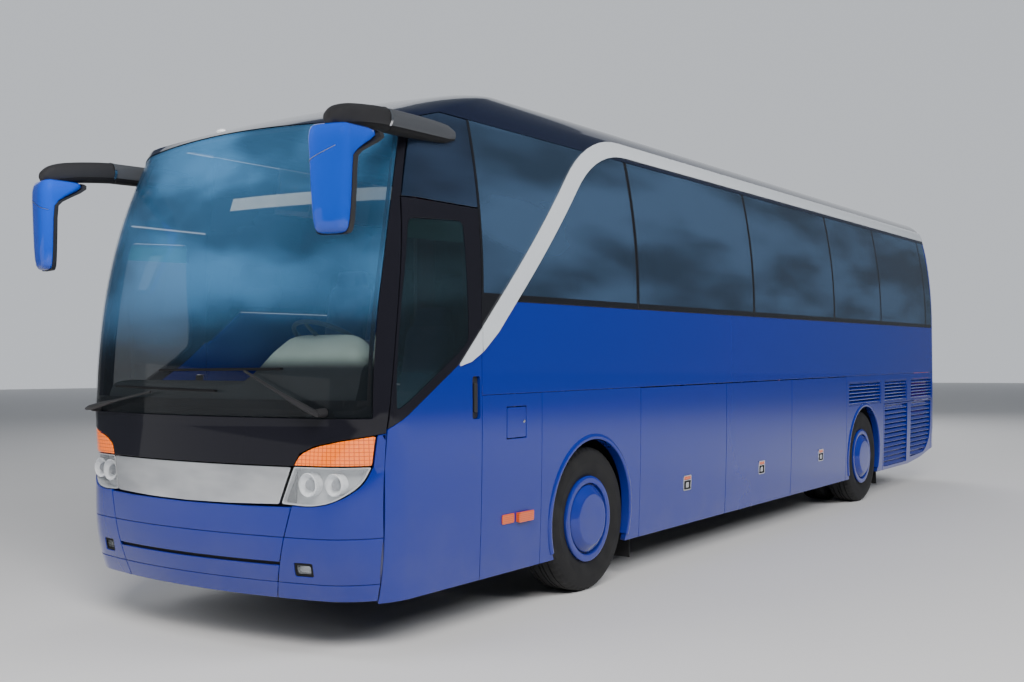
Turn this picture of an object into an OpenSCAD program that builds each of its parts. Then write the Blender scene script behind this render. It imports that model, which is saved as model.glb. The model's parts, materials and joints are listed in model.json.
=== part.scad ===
// Two-axle high-deck touring coach, left-hand drive, in millimetres.
// The front of the coach faces -Y and its left side is at +X.
// Every module is drawn from the middle of the front axle, on the ground, and place() moves it
// so that the origin lies under the middle of the whole coach.

/* [Overall size] */
// Width of the body between its sides
body_w = 2550; // [2400:10:2600]
// Distance between the front and the rear axle
wheelbase = 6080; // [5800:20:6400]
// Reach of the bumper ahead of the front axle
front_overhang = 2575; // [2500:5:2650]
// Reach of the rear panel behind the rear axle
rear_overhang = 3160; // [3000:10:3300]
// Height of the skirt's lower edge above the ground
skirt_z = 292; // [250:2:320]
// Height of the seam above the luggage flaps
flap_top_z = 1431; // [1400:1:1450]
// Height of the painted side's upper edge, where the windows start
belt_z = 2020; // [2000:5:2050]
// Height of the side windows' upper edge
glass_top_z = 3150; // [3100:5:3180]

/* [Body form] */
// How far the skirt's lower edge is tucked in
skirt_tuck = 30; // [10:1:50]
// Height at which the sides begin to lean inwards
lean_z = 2100; // [2000:10:2200]
// Radius of the leaning part of the sides
lean_r = 5000; // [4500:50:6000]
// Height at which the side turns into the roof's edge
eave_z = 3200; // [3190:5:3230]
// Radius of the roof's edge
roof_edge_r = 290; // [250:5:320]
// Slope of the roof where its edge radius ends, in degrees
roof_slope = 12; // [10:0.5:14]
// Radius of the front's curve across the body
front_r = 4250; // [3800:50:5000]
// Corner radius of the front bumper
bumper_corner_r = 410; // [350:5:430]
// Corner radius of the windscreen's ends
screen_corner_r = 250; // [230:5:300]
// Radius of the windscreen's curve from bottom to top
screen_r = 4180; // [3900:20:4600]
// Height at which the windscreen's curve starts
screen_curve_z = 1300; // [1250:10:1330]
// Radius of the tail's curve across the body
tail_r = 8000; // [6000:100:12000]
// Corner radius of the tail
tail_corner_r = 250; // [200:5:300]
// Thickness of walls, flaps and doors
wall_t = 40; // [30:1:50]
// Thickness of the roof
roof_t = 45; // [35:1:60]
// Thickness of the side windows, a double pane with its frame
glass_t = 24; // [16:1:30]
// Thickness of the windscreen
screen_t = 12; // [8:1:16]
// Gap around a piece that moves
gap = 7; // [6:0.5:8]
// Gap between two fixed panels
seam = 4; // [3:0.5:6]

/* [Front] */
// Height of the bumper's lower edge
bumper_low_z = 310; // [290:2:330]
// Height of the bumper's upper edge
bumper_top_z = 836; // [820:2:846]
// Height of the headlamps' upper edge
lamp_top_z = 1060; // [1050:1:1075]
// Half width of the brushed panel at its top
panel_half_top = 780; // [740:5:800]
// Half width of the brushed panel at its foot
panel_half_low = 708; // [680:4:720]
// Height of the seal below the windscreen
screen_low_z = 1330; // [1310:5:1350]
// Height of the windscreen's top edge at the middle
screen_top_z = 3085; // [3060:5:3100]
// Drop of the windscreen's top edge towards its corners
screen_top_drop = 90; // [70:5:100]
// Thickness of the brushed panel
panel_t = 18; // [10:1:25]
// Depth of the headlamps
lamp_t = 90; // [60:5:120]

/* [Doors] */
// Place of the front edge of both front doors, ahead of the front axle
door_front = 2222; // [2200:2:2240]
// Place of the rear edge of both front doors, ahead of the front axle
door_rear = 1345; // [1320:5:1360]
// Distance of the doors' upper front corner behind the windscreen's middle line
door_top_back = 268; // [250:2:280]
// Height above which the doors' front edge leans back
door_bend_z = 1270; // [1250:5:1290]
// Height of the front doors' upper edge
door_top_z = 2590; // [2560:5:2610]
// Height of the glass's lower edge in the front doors at its front
door_glass_z = 1340; // [1320:5:1380]
// Width of the frame around a door's glass
door_frame = 85; // [70:5:100]
// Width of the middle door
mid_door_w = 890; // [870:5:900]
// Reach of the swinging arms of the passenger doors
door_arm = 450; // [430:5:460]
// Radius of the doors' upright shafts
shaft_r = 16; // [12:1:20]
// Running clearance of shafts and pins in their bores
fit_gap = 0.08; // [0.05:0.01:0.1]

/* [Luggage flaps] */
// Place of the first flap's front edge, behind the front axle
flap_start = 707; // [700:1:720]
// Width of the first left flap
flap_1_w = 1574; // [1500:2:1600]
// Width of the second left flap
flap_2_w = 1541; // [1500:1:1600]
// Height of the fuel flap's lower edge
fuel_z = 1143; // [1130:1:1160]
// Height of the fuel flap
fuel_h = 207; // [180:1:220]
// Width of the fuel flap
fuel_w = 225; // [200:1:240]
// Place of the fuel flap's front edge, ahead of the front axle
fuel_y = 1081; // [1060:1:1100]

/* [Wheels] */
// Outer radius of every tyre, which is also the height of the wheel centres
tyre_r = 512; // [500:1:520]
// Width of every tyre
tyre_w = 290; // [280:1:295]
// Radius of the rims, where the tyres sit
rim_r = 290; // [285:1:295]
// Half the distance between the outer tyres' middle planes
half_track = 1092; // [1080:1:1098]
// Distance between the two tyres of a rear twin
twin_pitch = 340; // [335:1:350]
// Radius of the wheel covers
cover_r = 305; // [298:1:308]
// Radius of the wheel arches
arch_r = 550; // [545:1:560]
// Height of the middle of the wheel arches
arch_z = 540; // [535:1:545]
// Distance of the kingpins from the middle of the coach
kingpin_x = 900; // [890:1:910]
// Radius of the kingpins
kingpin_r = 25; // [20:1:30]
// Radius of the wheel spindles
spindle_r = 40; // [35:1:45]

/* [Inside] */
// Height of the passenger floor's upper face
floor_z = 1300; // [1290:5:1320]
// Height of the driver's platform
platform_z = 940; // [920:5:960]
// Distance from one row of seats to the next
seat_pitch = 790; // [780:5:795]
// Number of seat rows on the left side
seat_rows = 11; // [9:1:11]
// Width of a double seat
seat_w = 900; // [860:5:920]

/* [Rear] */
// Height of the upper edge of the lower grilles
grille_low_top_z = 1072; // [1060:2:1080]
// Height of the lower edge of the upper grilles
grille_high_low_z = 1100; // [1095:1:1110]
// Height of the upper edge of the upper grilles
grille_high_top_z = 1360; // [1350:2:1370]
// Pitch of the grille slats
slat_pitch = 52; // [48:1:60]
// Half width of the engine lid
lid_half_w = 900; // [860:5:940]
// Height of the engine lid's lower edge
lid_low_z = 780; // [760:5:800]
// Height of the engine lid's upper edge
lid_top_z = 1760; // [1720:5:1800]

/* [Hidden] */
$fn = 48;

blue = [0.05, 0.13, 0.62];
navy = [0.04, 0.05, 0.13];
black = [0.05, 0.05, 0.06];
silver = [0.75, 0.79, 0.82];
amber = [1, 0.45, 0.05];
grey = [0.35, 0.36, 0.38];

half_w = body_w / 2;
tail_y = wheelbase + rear_overhang;
mirror_reach = 190;
// The mirrors are the foremost pieces, so the middle of the coach is counted from them
front_y = -front_overhang - mirror_reach;
shift_y = -(front_y + tail_y) / 2;
side_end = tail_y - tail_corner_r - 90;
lip = 1;
// Pieces that rest against each other are drawn this far apart
touch = 0.4;

// Outline of the cross section
lean_dz = eave_z - lean_z;
eave_x = half_w - lean_r + sqrt(lean_r * lean_r - lean_dz * lean_dz);
eave_angle = asin(lean_dz / lean_r);
edge_x = eave_x - roof_edge_r * cos(eave_angle);
edge_z = eave_z - roof_edge_r * sin(eave_angle);
crown_start_x = edge_x + roof_edge_r * sin(roof_slope);
crown_start_z = edge_z + roof_edge_r * cos(roof_slope);
crown_r = crown_start_x / sin(roof_slope);
crown_z = crown_start_z + crown_r * (1 - cos(roof_slope));

// Half width of the body at a height
function body_x(z) =
    z < flap_top_z ? half_w - skirt_tuck * pow((flap_top_z - z) / (flap_top_z - skirt_z), 2)
    : z < lean_z ? half_w
    : z < eave_z ? half_w - lean_r + sqrt(lean_r * lean_r - pow(z - lean_z, 2))
    : z < crown_start_z ? edge_x + sqrt(roof_edge_r * roof_edge_r - pow(z - edge_z, 2))
    : sqrt(max(0, crown_r * crown_r - pow(z - crown_z + crown_r, 2)));

// Tilt of the outward normal above the horizontal at a height
function body_tilt(z) =
    z < lean_z ? 0
    : z < eave_z ? asin((z - lean_z) / lean_r)
    : z < crown_start_z ? asin((z - edge_z) / roof_edge_r)
    : 90 - asin(body_x(z) / crown_r);

bumper_belly_z = 700;
bumper_foot = 65;
bumper_brow = 43;
screen_foot_y = -front_overhang + bumper_brow;
screen_head_z = 3090;
function screen_y(z) = screen_foot_y + screen_r - sqrt(screen_r * screen_r - pow(z - screen_curve_z, 2));
cap_y = screen_y(screen_head_z);
door_top_front = -screen_y(door_top_z) - door_top_back;

// Place of the front's middle line at a height
function nose_y(z) =
    z < bumper_belly_z ? -front_overhang + bumper_foot * pow((bumper_belly_z - z) / (bumper_belly_z - bumper_low_z), 2)
    : z < screen_curve_z ? -front_overhang + bumper_brow * pow((z - bumper_belly_z) / (screen_curve_z - bumper_belly_z), 2)
    : z < screen_head_z ? screen_y(z)
    : cap_y * sqrt(max(0, 1 - (z - screen_head_z) / (crown_z - screen_head_z)));

tail_cap_z = 3000;
tail_cap_y = 420;
// Place of the tail's middle line at a height
function rear_y(z) =
    z < tail_cap_z ? tail_y
    : tail_y - tail_cap_y * (1 - sqrt(max(0, 1 - pow((z - tail_cap_z) / (crown_z - tail_cap_z), 2))));

function blend(a, b, t) = a + (b - a) * min(1, max(0, t));
function corner_r(z) =
    min(blend(bumper_corner_r, screen_corner_r, (z - lamp_top_z) / (screen_low_z - lamp_top_z)), 0.8 * body_x(z));

// A point of the front skin: c runs from 0 at the middle over 1 at the corner's start and 2 at its end
// to 3 at side_to, and is negative on the right; the point is set in by t
function front_pt(c, z, t = 0, side_to = 0) =
    let(
        s = c < 0 ? -1 : 1,
        a = abs(c),
        w = body_x(z) - t,
        rc = max(1, corner_r(z) - t),
        rf = front_r - t,
        cx = w - rc,
        ny = nose_y(z) + t,
        cy = ny + rf - sqrt(pow(rf - rc, 2) - cx * cx),
        turn = asin(cx / (rf - rc))
    )
    a <= 1 ? [s * rf * sin(a * turn), ny + rf * (1 - cos(a * turn)), z]
    : a <= 2 ? let(q = turn + (a - 1) * (90 - turn)) [s * (cx + rc * sin(q)), cy - rc * cos(q), z]
    : [s * w, cy + (a - 2) * (side_to - cy), z];

// A point of the tail skin, in the same way
function rear_pt(c, z, t = 0, side_from = 0) =
    let(
        s = c < 0 ? -1 : 1,
        a = abs(c),
        w = body_x(z) - t,
        rc = max(1, min(tail_corner_r, 0.8 * body_x(z)) - t),
        rf = tail_r - t,
        cx = w - rc,
        ny = rear_y(z) - t,
        cy = ny - rf + sqrt(pow(rf - rc, 2) - cx * cx),
        turn = asin(cx / (rf - rc))
    )
    a <= 1 ? [s * rf * sin(a * turn), ny - rf * (1 - cos(a * turn)), z]
    : a <= 2 ? let(q = turn + (a - 1) * (90 - turn)) [s * (cx + rc * sin(q)), cy + rc * cos(q), z]
    : [s * w, cy - (a - 2) * (cy - side_from), z];

// Closed plate between an outer and an inner grid of points, both listed row by row
module plate(outer, inner) {
    rows = len(outer);
    cols = len(outer[0]);
    n = rows * cols;
    pts = concat([for (r = outer, p = r) p], [for (r = inner, p = r) p]);
    function id(i, j, k) = k * n + i * cols + j;
    sheet = [for (i = [0:rows - 2], j = [0:cols - 2]) each [
        [id(i, j, 0), id(i + 1, j, 0), id(i + 1, j + 1, 0)],
        [id(i, j, 0), id(i + 1, j + 1, 0), id(i, j + 1, 0)],
        [id(i, j, 1), id(i + 1, j + 1, 1), id(i + 1, j, 1)],
        [id(i, j, 1), id(i, j + 1, 1), id(i + 1, j + 1, 1)]
    ]];
    ends = [for (i = [0:rows - 2]) each [
        [id(i, 0, 0), id(i, 0, 1), id(i + 1, 0, 1)],
        [id(i, 0, 0), id(i + 1, 0, 1), id(i + 1, 0, 0)],
        [id(i, cols - 1, 0), id(i + 1, cols - 1, 1), id(i, cols - 1, 1)],
        [id(i, cols - 1, 0), id(i + 1, cols - 1, 0), id(i + 1, cols - 1, 1)]
    ]];
    rims = [for (j = [0:cols - 2]) each [
        [id(0, j, 0), id(0, j + 1, 1), id(0, j, 1)],
        [id(0, j, 0), id(0, j + 1, 0), id(0, j + 1, 1)],
        [id(rows - 1, j, 0), id(rows - 1, j, 1), id(rows - 1, j + 1, 1)],
        [id(rows - 1, j, 0), id(rows - 1, j + 1, 1), id(rows - 1, j + 1, 0)]
    ]];
    polyhedron(pts, concat(sheet, ends, rims));
}

function steps(a, b, n) = [for (i = [0:n]) a + (b - a) * i / n];

// Front skin between two heights and two places across, t thick, set in by inset
module front_skin(cs, zs, t, inset = 0, side_to = 0) {
    plate(
        [for (z = zs) [for (c = cs) front_pt(c, z, inset, side_to)]],
        [for (z = zs) [for (c = cs) front_pt(c, z, inset + t, side_to)]]
    );
}

// Tail skin in the same way, with its columns turned so that the faces look outwards
module rear_skin(cs, zs, t, inset = 0, side_from = 0) {
    plate(
        [for (z = zs) [for (c = cs) rear_pt(-c, z, inset, side_from)]],
        [for (z = zs) [for (c = cs) rear_pt(-c, z, inset + t, side_from)]]
    );
}

// Side wall stock between two places along the coach, as an exact extrusion of the cross section
module side_stock(y0, y1, zs, t, inset = 0) {
    translate([0, y1, 0])
    rotate([90, 0, 0])
    linear_extrude(y1 - y0)
    polygon(concat(
        [for (z = zs) [body_x(z) - inset * cos(body_tilt(z)), z - inset * sin(body_tilt(z))]],
        [for (i = [len(zs) - 1:-1:0]) let(z = zs[i], d = inset + t)
            [body_x(z) - d * cos(body_tilt(z)), z - d * sin(body_tilt(z))]]
    ));
}

// An outline seen from the side, drawn as [y, z], cut through the left half of the coach
module side_cut(points, x0 = 700, x1 = 1500) {
    translate([x0, 0, 0])
    rotate([90, 0, 90])
    linear_extrude(x1 - x0)
    polygon(points);
}

// An outline seen from the front, drawn as [x, z], cut through the front
module front_cut(points, y0 = -3200, y1 = -1700) {
    translate([0, y1, 0])
    rotate([90, 0, 0])
    linear_extrude(y1 - y0)
    polygon(points);
}

function box_path(y0, y1, z0, z1) = [[y0, z0], [y1, z0], [y1, z1], [y0, z1]];

module both_sides() {
    children();
    mirror([1, 0, 0]) children();
}

module place() {
    translate([0, shift_y, 0]) children();
}

module block(x0, x1, y0, y1, z0, z1) {
    translate([x0, y0, z0]) cube([x1 - x0, y1 - y0, z1 - z0]);
}

module rod_x(x0, x1, y, z, r) {
    translate([x0, y, z]) rotate([0, 90, 0]) cylinder(h = x1 - x0, r = r);
}

module rod_y(x, y0, y1, z, r) {
    translate([x, y1, z]) rotate([90, 0, 0]) cylinder(h = y1 - y0, r = r);
}

module rod_z(x, y, z0, z1, r) {
    translate([x, y, z0]) cylinder(h = z1 - z0, r = r);
}

// Heights used for walls: few where the section is straight, more where it curves
low_zs = concat(steps(skirt_z, flap_top_z, 4), [belt_z]);
glass_zs = concat([belt_z + touch], steps(lean_z, glass_top_z, 5));

// Windscreen top edge for a place across
function screen_top(c) = screen_top_z - screen_top_drop * pow(min(1.5, abs(c)) / 1.5, 2);
screen_c = 1.5;
front_cs = concat(steps(-2, -1, 6), steps(-0.75, 0.75, 6), steps(1, 2, 6));

// Outline of the front doors, shrunk by g
function door_path(g = 0) = [
    [-door_front + g, skirt_z],
    [-door_rear - g, skirt_z],
    [-door_rear - g, door_top_z - g],
    [-door_top_front + g, door_top_z - g],
    [-door_front + g, door_bend_z]
];

door_stock_zs = concat(steps(skirt_z, flap_top_z, 5), [1800], steps(lean_z, door_top_z, 3));
corner_cs = concat(steps(1.35, 2, 7), [3]);

// The hinge barrels: their middles lie on the fixed edge and a little inside the skin
barrel_r = gap + 1.5;
barrel_in = 2;
notch_r = barrel_r + 0.3;

// Chassis: rails, cross members, luggage floor and bulkheads
rail_x = 430;
rail_w = 80;
rail_z = 620;
rail_h = 140;
tray_z = 330;
tray_t = 30;
hold_front = 668;
well_half = 640;
hold_rear = wheelbase - well_half;
bulk_t = 30;
mid_door_y = hold_rear - mid_door_w;
floor_t = 40;

rail_front = -2600;
rail_rear = tail_y + 40;

module rails() {
    both_sides() {
        block(rail_x - rail_w / 2, rail_x + rail_w / 2, rail_front, hold_front + bulk_t, rail_z, rail_z + rail_h);
        block(rail_x - rail_w / 2, rail_x + rail_w / 2, hold_rear - bulk_t, rail_rear, rail_z, rail_z + rail_h);
        // Brackets of the bumper's corners
        block(900, 1000, rail_front, cross_front_y, rail_z + 20, rail_z + rail_h - 20);
    }
}

cross_front_y = -2350;
cross_w = 60;
well_rear = wheelbase + well_half;

module chassis() {
    color(grey)
    union() {
        difference() {
            rails();
            front_skin(front_cs, bumper_zs, wall_t + touch + 200, -200);
            rear_skin(tail_cs, tail_zs, wall_t + touch + 200, -200, side_end);
        }
        for (y = [-1500, -750, wheelbase + 520]) block(-rail_x, rail_x, y, y + cross_w, rail_z, rail_z + rail_h);
        block(-1000, 1000, cross_front_y, cross_front_y + cross_w, rail_z, rail_z + rail_h);
        block(-1000, 1000, tail_y - 210, tail_y - 210 + cross_w, rail_z, rail_z + rail_h);
        difference() {
            union() {
                block(-1190, 1190, hold_front, hold_rear, tray_z, tray_z + tray_t);
                for (y = [hold_front, hold_rear - bulk_t, well_rear])
                    block(-1190, 1190, y, y + bulk_t, tray_z, floor_z - floor_t);
            }
            block(-1250, stair_wall_x + 25, mid_door_y - 25, hold_rear - bulk_t, 0, floor_z);
            // The engine's shaft tunnel and the rear rails pass the last wall
            block(-rail_x + rail_w / 2, rail_x - rail_w / 2, well_rear - 1, well_rear + bulk_t + 1, tray_z - 1, rail_z + rail_h + 300);
        }
        for (x = [-1190, -30, 1160]) block(x, x + 30, 2850, 2910, tray_z, floor_z - floor_t);
    }
}

// Passenger floor, driver's platform, wheel housings and steps
stair_x = 250;
stair_out = 1155;
stair_wall_x = -350;
step_z = 380;
step_rise = 240;
step_t = 30;
floor_front = -900;

// Steps between two places along the coach, rising from the door inwards
module stairs(y0, y1, run, count) {
    for (i = [0:count - 1]) {
        x = -stair_out + i * run;
        z = step_z + i * step_rise;
        block(x, x + run, i == 0 ? max(y0, -2180) : y0, y1, z - step_t, z);
        if (i > 0) block(x, x + 25, y0, y1, z - step_rise - step_t, z);
    }
}

// Bearing of a passenger door's shaft, at the edge of the lowest step
module shaft_seat(s) {
    block(s[0] - 25, -stair_out + 10, s[1] - 30, s[1] + 30, step_z - step_t, step_z);
}

module cabin_floor() {
    mid_run = (stair_out + stair_wall_x) / 4;
    color(grey)
    difference() {
        union() {
            difference() {
                union() {
                    block(-1226, 1226, floor_front, side_end, floor_z - floor_t, floor_z);
                    // The floor reaches the walls where there are no flaps
                    for (y = [[-880, 660], [hold_rear + 30, side_end - 20]])
                        block(-1233.5, 1233.5, y[0], y[1], floor_z - floor_t, floor_z);
                    block(-1000, 1000, side_end - 10, tail_y - 150, floor_z - floor_t, floor_z);
                }
                block(-1300, stair_wall_x, mid_door_y, hold_rear - bulk_t, floor_z - 100, floor_z + 100);
            }
            block(-stair_x, 1190, -door_front + 20, floor_front, platform_z - 40, platform_z);
            block(-stair_x, 960, -2330, -door_front + 20, platform_z - 40, platform_z);
            block(-stair_x, 1190, floor_front, floor_front + 30, platform_z - 40, floor_z);
            block(480, 1190, floor_front, floor_front + 30, 400, platform_z);
            block(-stair_out, -stair_x, floor_front, floor_front + 30, tray_z, floor_z);
            block(-stair_x - 20, -stair_x, -2280, floor_front, rail_z + rail_h, platform_z);
            stairs(-2280, floor_front, (stair_out - stair_x) / 3, 3);
            for (i = [0:1])
                block(-stair_x, stair_x, floor_front - 280 * (2 - i), floor_front, platform_z, platform_z + 120 * (i + 1));
            stairs(mid_door_y, hold_rear - bulk_t, mid_run, 4);
            block(stair_wall_x, stair_wall_x + 25, mid_door_y, hold_rear - bulk_t, step_z, floor_z);
            block(-stair_out, stair_wall_x + 25, mid_door_y - 25, mid_door_y, tray_z, floor_z);
            shaft_seat(front_shaft);
            shaft_seat(mid_shaft);
        }
        rails();
        for (s = [front_shaft, mid_shaft]) rod_z(s[0], s[1], step_z - 100, step_z + 100, shaft_r + fit_gap);
    }
}

// Bumper in three pieces, with the fog lamps' recesses
function bumper_half(z) = 647 + (789 - 647) * (z - 320) / (839 - 320);
bumper_zs = concat(steps(bumper_low_z, bumper_belly_z, 4), steps(840, 1270, 4));
// Line between the bumper's corner pieces and the black frame above them
function brow_path(g = 0) = [
    [panel_half_top + 12, lamp_top_z + 2 + g],
    [826, 1132 + g],
    [916, 1176 + g],
    [1078, 1210 + g],
    [1230, 1236 + g],
    [1300, 1246 + g]
];
function lamp_path(g = 0) = concat(
    [[panel_half_low + 14 + g, bumper_top_z + 14 + g]],
    [[900, bumper_top_z + 4 + g], [1020, bumper_top_z + 22 + g], [1110, bumper_top_z + 70 + g],
     [1170 - g, bumper_top_z + 130], [1200 - g, lamp_top_z - g], [panel_half_top + 14 + g, lamp_top_z - g]]
);
function signal_path(g = 0) = [
    [panel_half_top + 16 + g, lamp_top_z + 6 + g],
    [1202 - g, lamp_top_z + 6 + g],
    [1226 - g, 1232 - g],
    [1080, 1206 - g],
    [920, 1172 - g],
    [830, 1128 - g]
];
signal_t = 56;
fog_z = 486;
fog_x = 855;
slot_z = 505;

module front_bumper() {
    color(blue) {
        // Middle piece
        difference() {
            intersection() {
                front_skin(front_cs, bumper_zs, wall_t);
                front_cut(concat(
                    [[-bumper_half(bumper_low_z), bumper_low_z], [bumper_half(bumper_low_z), bumper_low_z]],
                    [[bumper_half(bumper_top_z), bumper_top_z], [0, bumper_top_z - 10], [-bumper_half(bumper_top_z), bumper_top_z]]
                ));
            }
            block(-1000, 1000, -2650, nose_y(slot_z) + 12, slot_z - 9, slot_z + 9);
            plate_holes(-front_overhang - 50, -front_overhang + 150);
        }
        // Corner pieces
        both_sides()
        difference() {
            union() {
                intersection() {
                    front_skin(steps(0.5, 1, 2), bumper_zs, wall_t);
                    front_cut([[bumper_half(bumper_low_z) + seam, bumper_low_z], [1400, bumper_low_z], [1400, 1270],
                               [bumper_half(1270) + seam, 1270]]);
                }
                intersection() {
                    front_skin(concat(steps(1, 2, 8), [3]), bumper_zs, wall_t);
                    side_cut([[-2700, 0], [-door_front, 0], [-door_front, door_bend_z - 2], [-2700, door_bend_z - 2]], 0);
                }
            }
            front_cut(lamp_path(-seam));
            front_cut(signal_path(-seam));
            front_cut(concat([[500, bumper_top_z], [panel_half_low + 18, bumper_top_z]], brow_path(), [[1300, 1400], [500, 1400]]));
            block(fog_x - 60, fog_x + 60, -2650, -2360, fog_z - 38, fog_z + 38);
            rod_z(door_barrel_x, -door_front, door_hinge_top + 2, door_hinge_top + 70, door_barrel_r + 11);
        }
        door_barrels(door_barrel_r, 0);
    }
}

// Two screw holes of a number plate, from y0 to y1
plate_hole_pitch = 300;
plate_hole_r = 3.5;
plate_z = 600;
module plate_holes(y0, y1) {
    for (x = [-plate_hole_pitch / 2, plate_hole_pitch / 2]) rod_y(x, y0, y1, plate_z, plate_hole_r);
}

module fog_lamps() {
    both_sides() {
        block(fog_x - 56, fog_x + 56, -2468, -2380, fog_z - 34, fog_z + 34);
        difference() {
            block(fog_x - 72, fog_x + 72, -2450, -2380, fog_z - 50, fog_z + 50);
            front_skin(steps(0.5, 1, 2), bumper_zs, wall_t + touch + 100, -100);
            front_skin(steps(1, 2, 8), bumper_zs, wall_t + touch + 100, -100);
        }
    }
}

module front_panel() {
    color(silver)
    intersection() {
        front_skin(steps(-1, 1, 8), steps(bumper_top_z - 6, lamp_top_z - 2, 3), panel_t, 4);
        front_cut([[-panel_half_low + 4, bumper_top_z + 10], [0, bumper_top_z - 4], [panel_half_low - 4, bumper_top_z + 10],
                   [panel_half_top - 6, lamp_top_z - 2], [-panel_half_top + 6, lamp_top_z - 2]]);
    }
}

// Plate on the front corner between two columns, from a height up to the roof's edge
pillar_c = 5 / 3;
pane_cs = [pillar_c + 0.01, 11 / 6, 2, 3];
// Clearance of the pillars and quarter panes under the sloping foot of the roof
roof_clear = 8;
module corner_plate(cs, z0, rows, t, inset, side_to) {
    function level(i, c) = z0 + (roof_low(min(2, c)) - roof_clear - z0) * i / rows;
    plate(
        [for (i = [0:rows]) [for (c = cs) front_pt(c, level(i, c), inset, side_to)]],
        [for (i = [0:rows]) [for (c = cs) front_pt(c, level(i, c), inset + t, side_to)]]
    );
}

// Black frame around the windscreen: the band below it, its carrier behind the brushed panel,
// and the two pillars
module front_frame() {
    color(black)
    union() {
        difference() {
            front_skin(front_cs, steps(lamp_top_z + 2, screen_low_z, 4), wall_t, 2);
            both_sides() {
                front_cut(signal_path(-seam));
                front_cut(concat(brow_path(seam), [[1400, 1246 + seam], [1400, 1000], [panel_half_top + 12, 1000]]));
                side_cut([[-door_front - 1, 0], [-1500, 0], [-1500, 2000], [-door_front - 1, 2000]], 0);
            }
        }
        front_skin(steps(-0.75, 0.75, 6), concat([bumper_top_z - 60], steps(840, lamp_top_z + 60, 3)), 12, wall_t + 2 * touch);
        for (x = [-400, 400], z = [900, 1000])
            intersection() {
                front_skin(steps(-0.75, 0.75, 6), [z - 20, z + 20], wall_t - panel_t + 2, panel_t + 4 + 2 * touch);
                block(x - 25, x + 25, -2700, -2300, z - 20, z + 20);
            }
        both_sides() {
            difference() {
                front_skin(concat(steps(screen_c, 2, 6), [3]), concat([screen_low_z - 30], steps(screen_low_z, door_top_z, 5)), wall_t, 2);
                side_cut(door_path(0), 0);
                side_cut([[-door_rear - 1, 0], [0, 0], [0, 4000], [-door_rear - 1, 4000]], 0);
                rod_z(door_barrel_x, -door_front, door_hinge_top + 6, door_hinge_top + 310, barrel_sweep_r);
            }
            corner_plate([screen_c, pillar_c], door_top_z, 3, wall_t, 2, 0);
        }
    }
}

module windscreen() {
    rows = 8;
    end_c = screen_c - 0.012;
    cs = concat(steps(-end_c, -1, 3), steps(-0.8, 0.8, 8), steps(1, end_c, 3));
    function level(i, c) = screen_low_z + (screen_top(c) - 2 - screen_low_z) * i / rows;
    color([0.4, 0.55, 0.6, 0.4])
    plate(
        [for (i = [0:rows]) [for (c = cs) front_pt(c, level(i, c), 4)]],
        [for (i = [0:rows]) [for (c = cs) front_pt(c, level(i, c), 4 + screen_t)]]
    );
}

// A lamp let into the front corner, with a flange that bears on the back of the bumper
flange = 14;
module lamp_body(path, back_path, depth, back_in) {
    cs = concat(steps(0.5, 1, 2), steps(1.125, 2, 7));
    both_sides()
    difference() {
        union() {
            intersection() {
                front_skin(cs, bumper_zs, depth, 3);
                front_cut(path);
            }
            intersection() {
                front_skin(cs, bumper_zs, depth - back_in, back_in + touch);
                front_cut(back_path);
            }
        }
        side_cut([[-door_front - seam, 0], [-1500, 0], [-1500, 2000], [-door_front - seam, 2000]], 0);
    }
}

module headlamps() {
    color([0.9, 0.93, 0.95]) {
        lamp_body(lamp_path(0), [for (p = lamp_path(-flange)) [p[0], min(p[1], lamp_top_z)]], lamp_t, wall_t);
        fog_lamps();
    }
}

marker_h = 70;
marker_z = 600;
module amber_lamps() {
    color(amber) {
        lamp_body(signal_path(0), [for (p = signal_path(-flange)) [p[0], max(p[1], lamp_top_z + 4)]], signal_t, wall_t + 4);
        both_sides()
        for (m = [[-1126, 130], [-965, 180]])
            block(body_x(marker_z + marker_h), body_x(marker_z + marker_h) + 12, m[0], m[0] + m[1], marker_z, marker_z + marker_h);
    }
}

// Roof: a closed dome whose rows run round the whole coach
roof_tilts = [40, 62, 90 - roof_slope];
roof_crown_xs = [0.72, 0.42, 0.12];
roof_rows = concat(
    [[eave_x, eave_z, eave_angle]],
    [for (q = roof_tilts) [edge_x + roof_edge_r * cos(q), edge_z + roof_edge_r * sin(q), q]],
    [for (f = roof_crown_xs) let(x = crown_start_x * f, q = 90 - asin(x / crown_r))
        [x, crown_z - crown_r * (1 - sin(q)), q]]
);

roof_rear_cs = concat(steps(2, 1, 4), [0], steps(-1, -2, 4));

// Lower edge of the roof for a place across the front
function roof_low(c) = abs(c) < screen_c ? screen_top(c) + 2 : blend(screen_top(screen_c) + 2, glass_top_z + touch, (abs(c) - screen_c) / (2 - screen_c));

function roof_row(k, set) =
    let(t = set * roof_t)
    concat(
        [for (c = front_cs)
            let(z = k == 0 ? roof_low(c) : roof_rows[k - 1][1], q = k == 0 ? eave_angle : roof_rows[k - 1][2],
                p = front_pt(c, z, t * cos(q)))
            [p[0], p[1], k == 0 ? z : z - t * sin(q)]],
        [for (c = roof_rear_cs)
            let(z = k == 0 ? glass_top_z + touch : roof_rows[k - 1][1], q = k == 0 ? eave_angle : roof_rows[k - 1][2],
                p = rear_pt(c, z, t * cos(q)))
            [p[0], p[1], k == 0 ? z : z - t * sin(q)]]
    );

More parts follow.
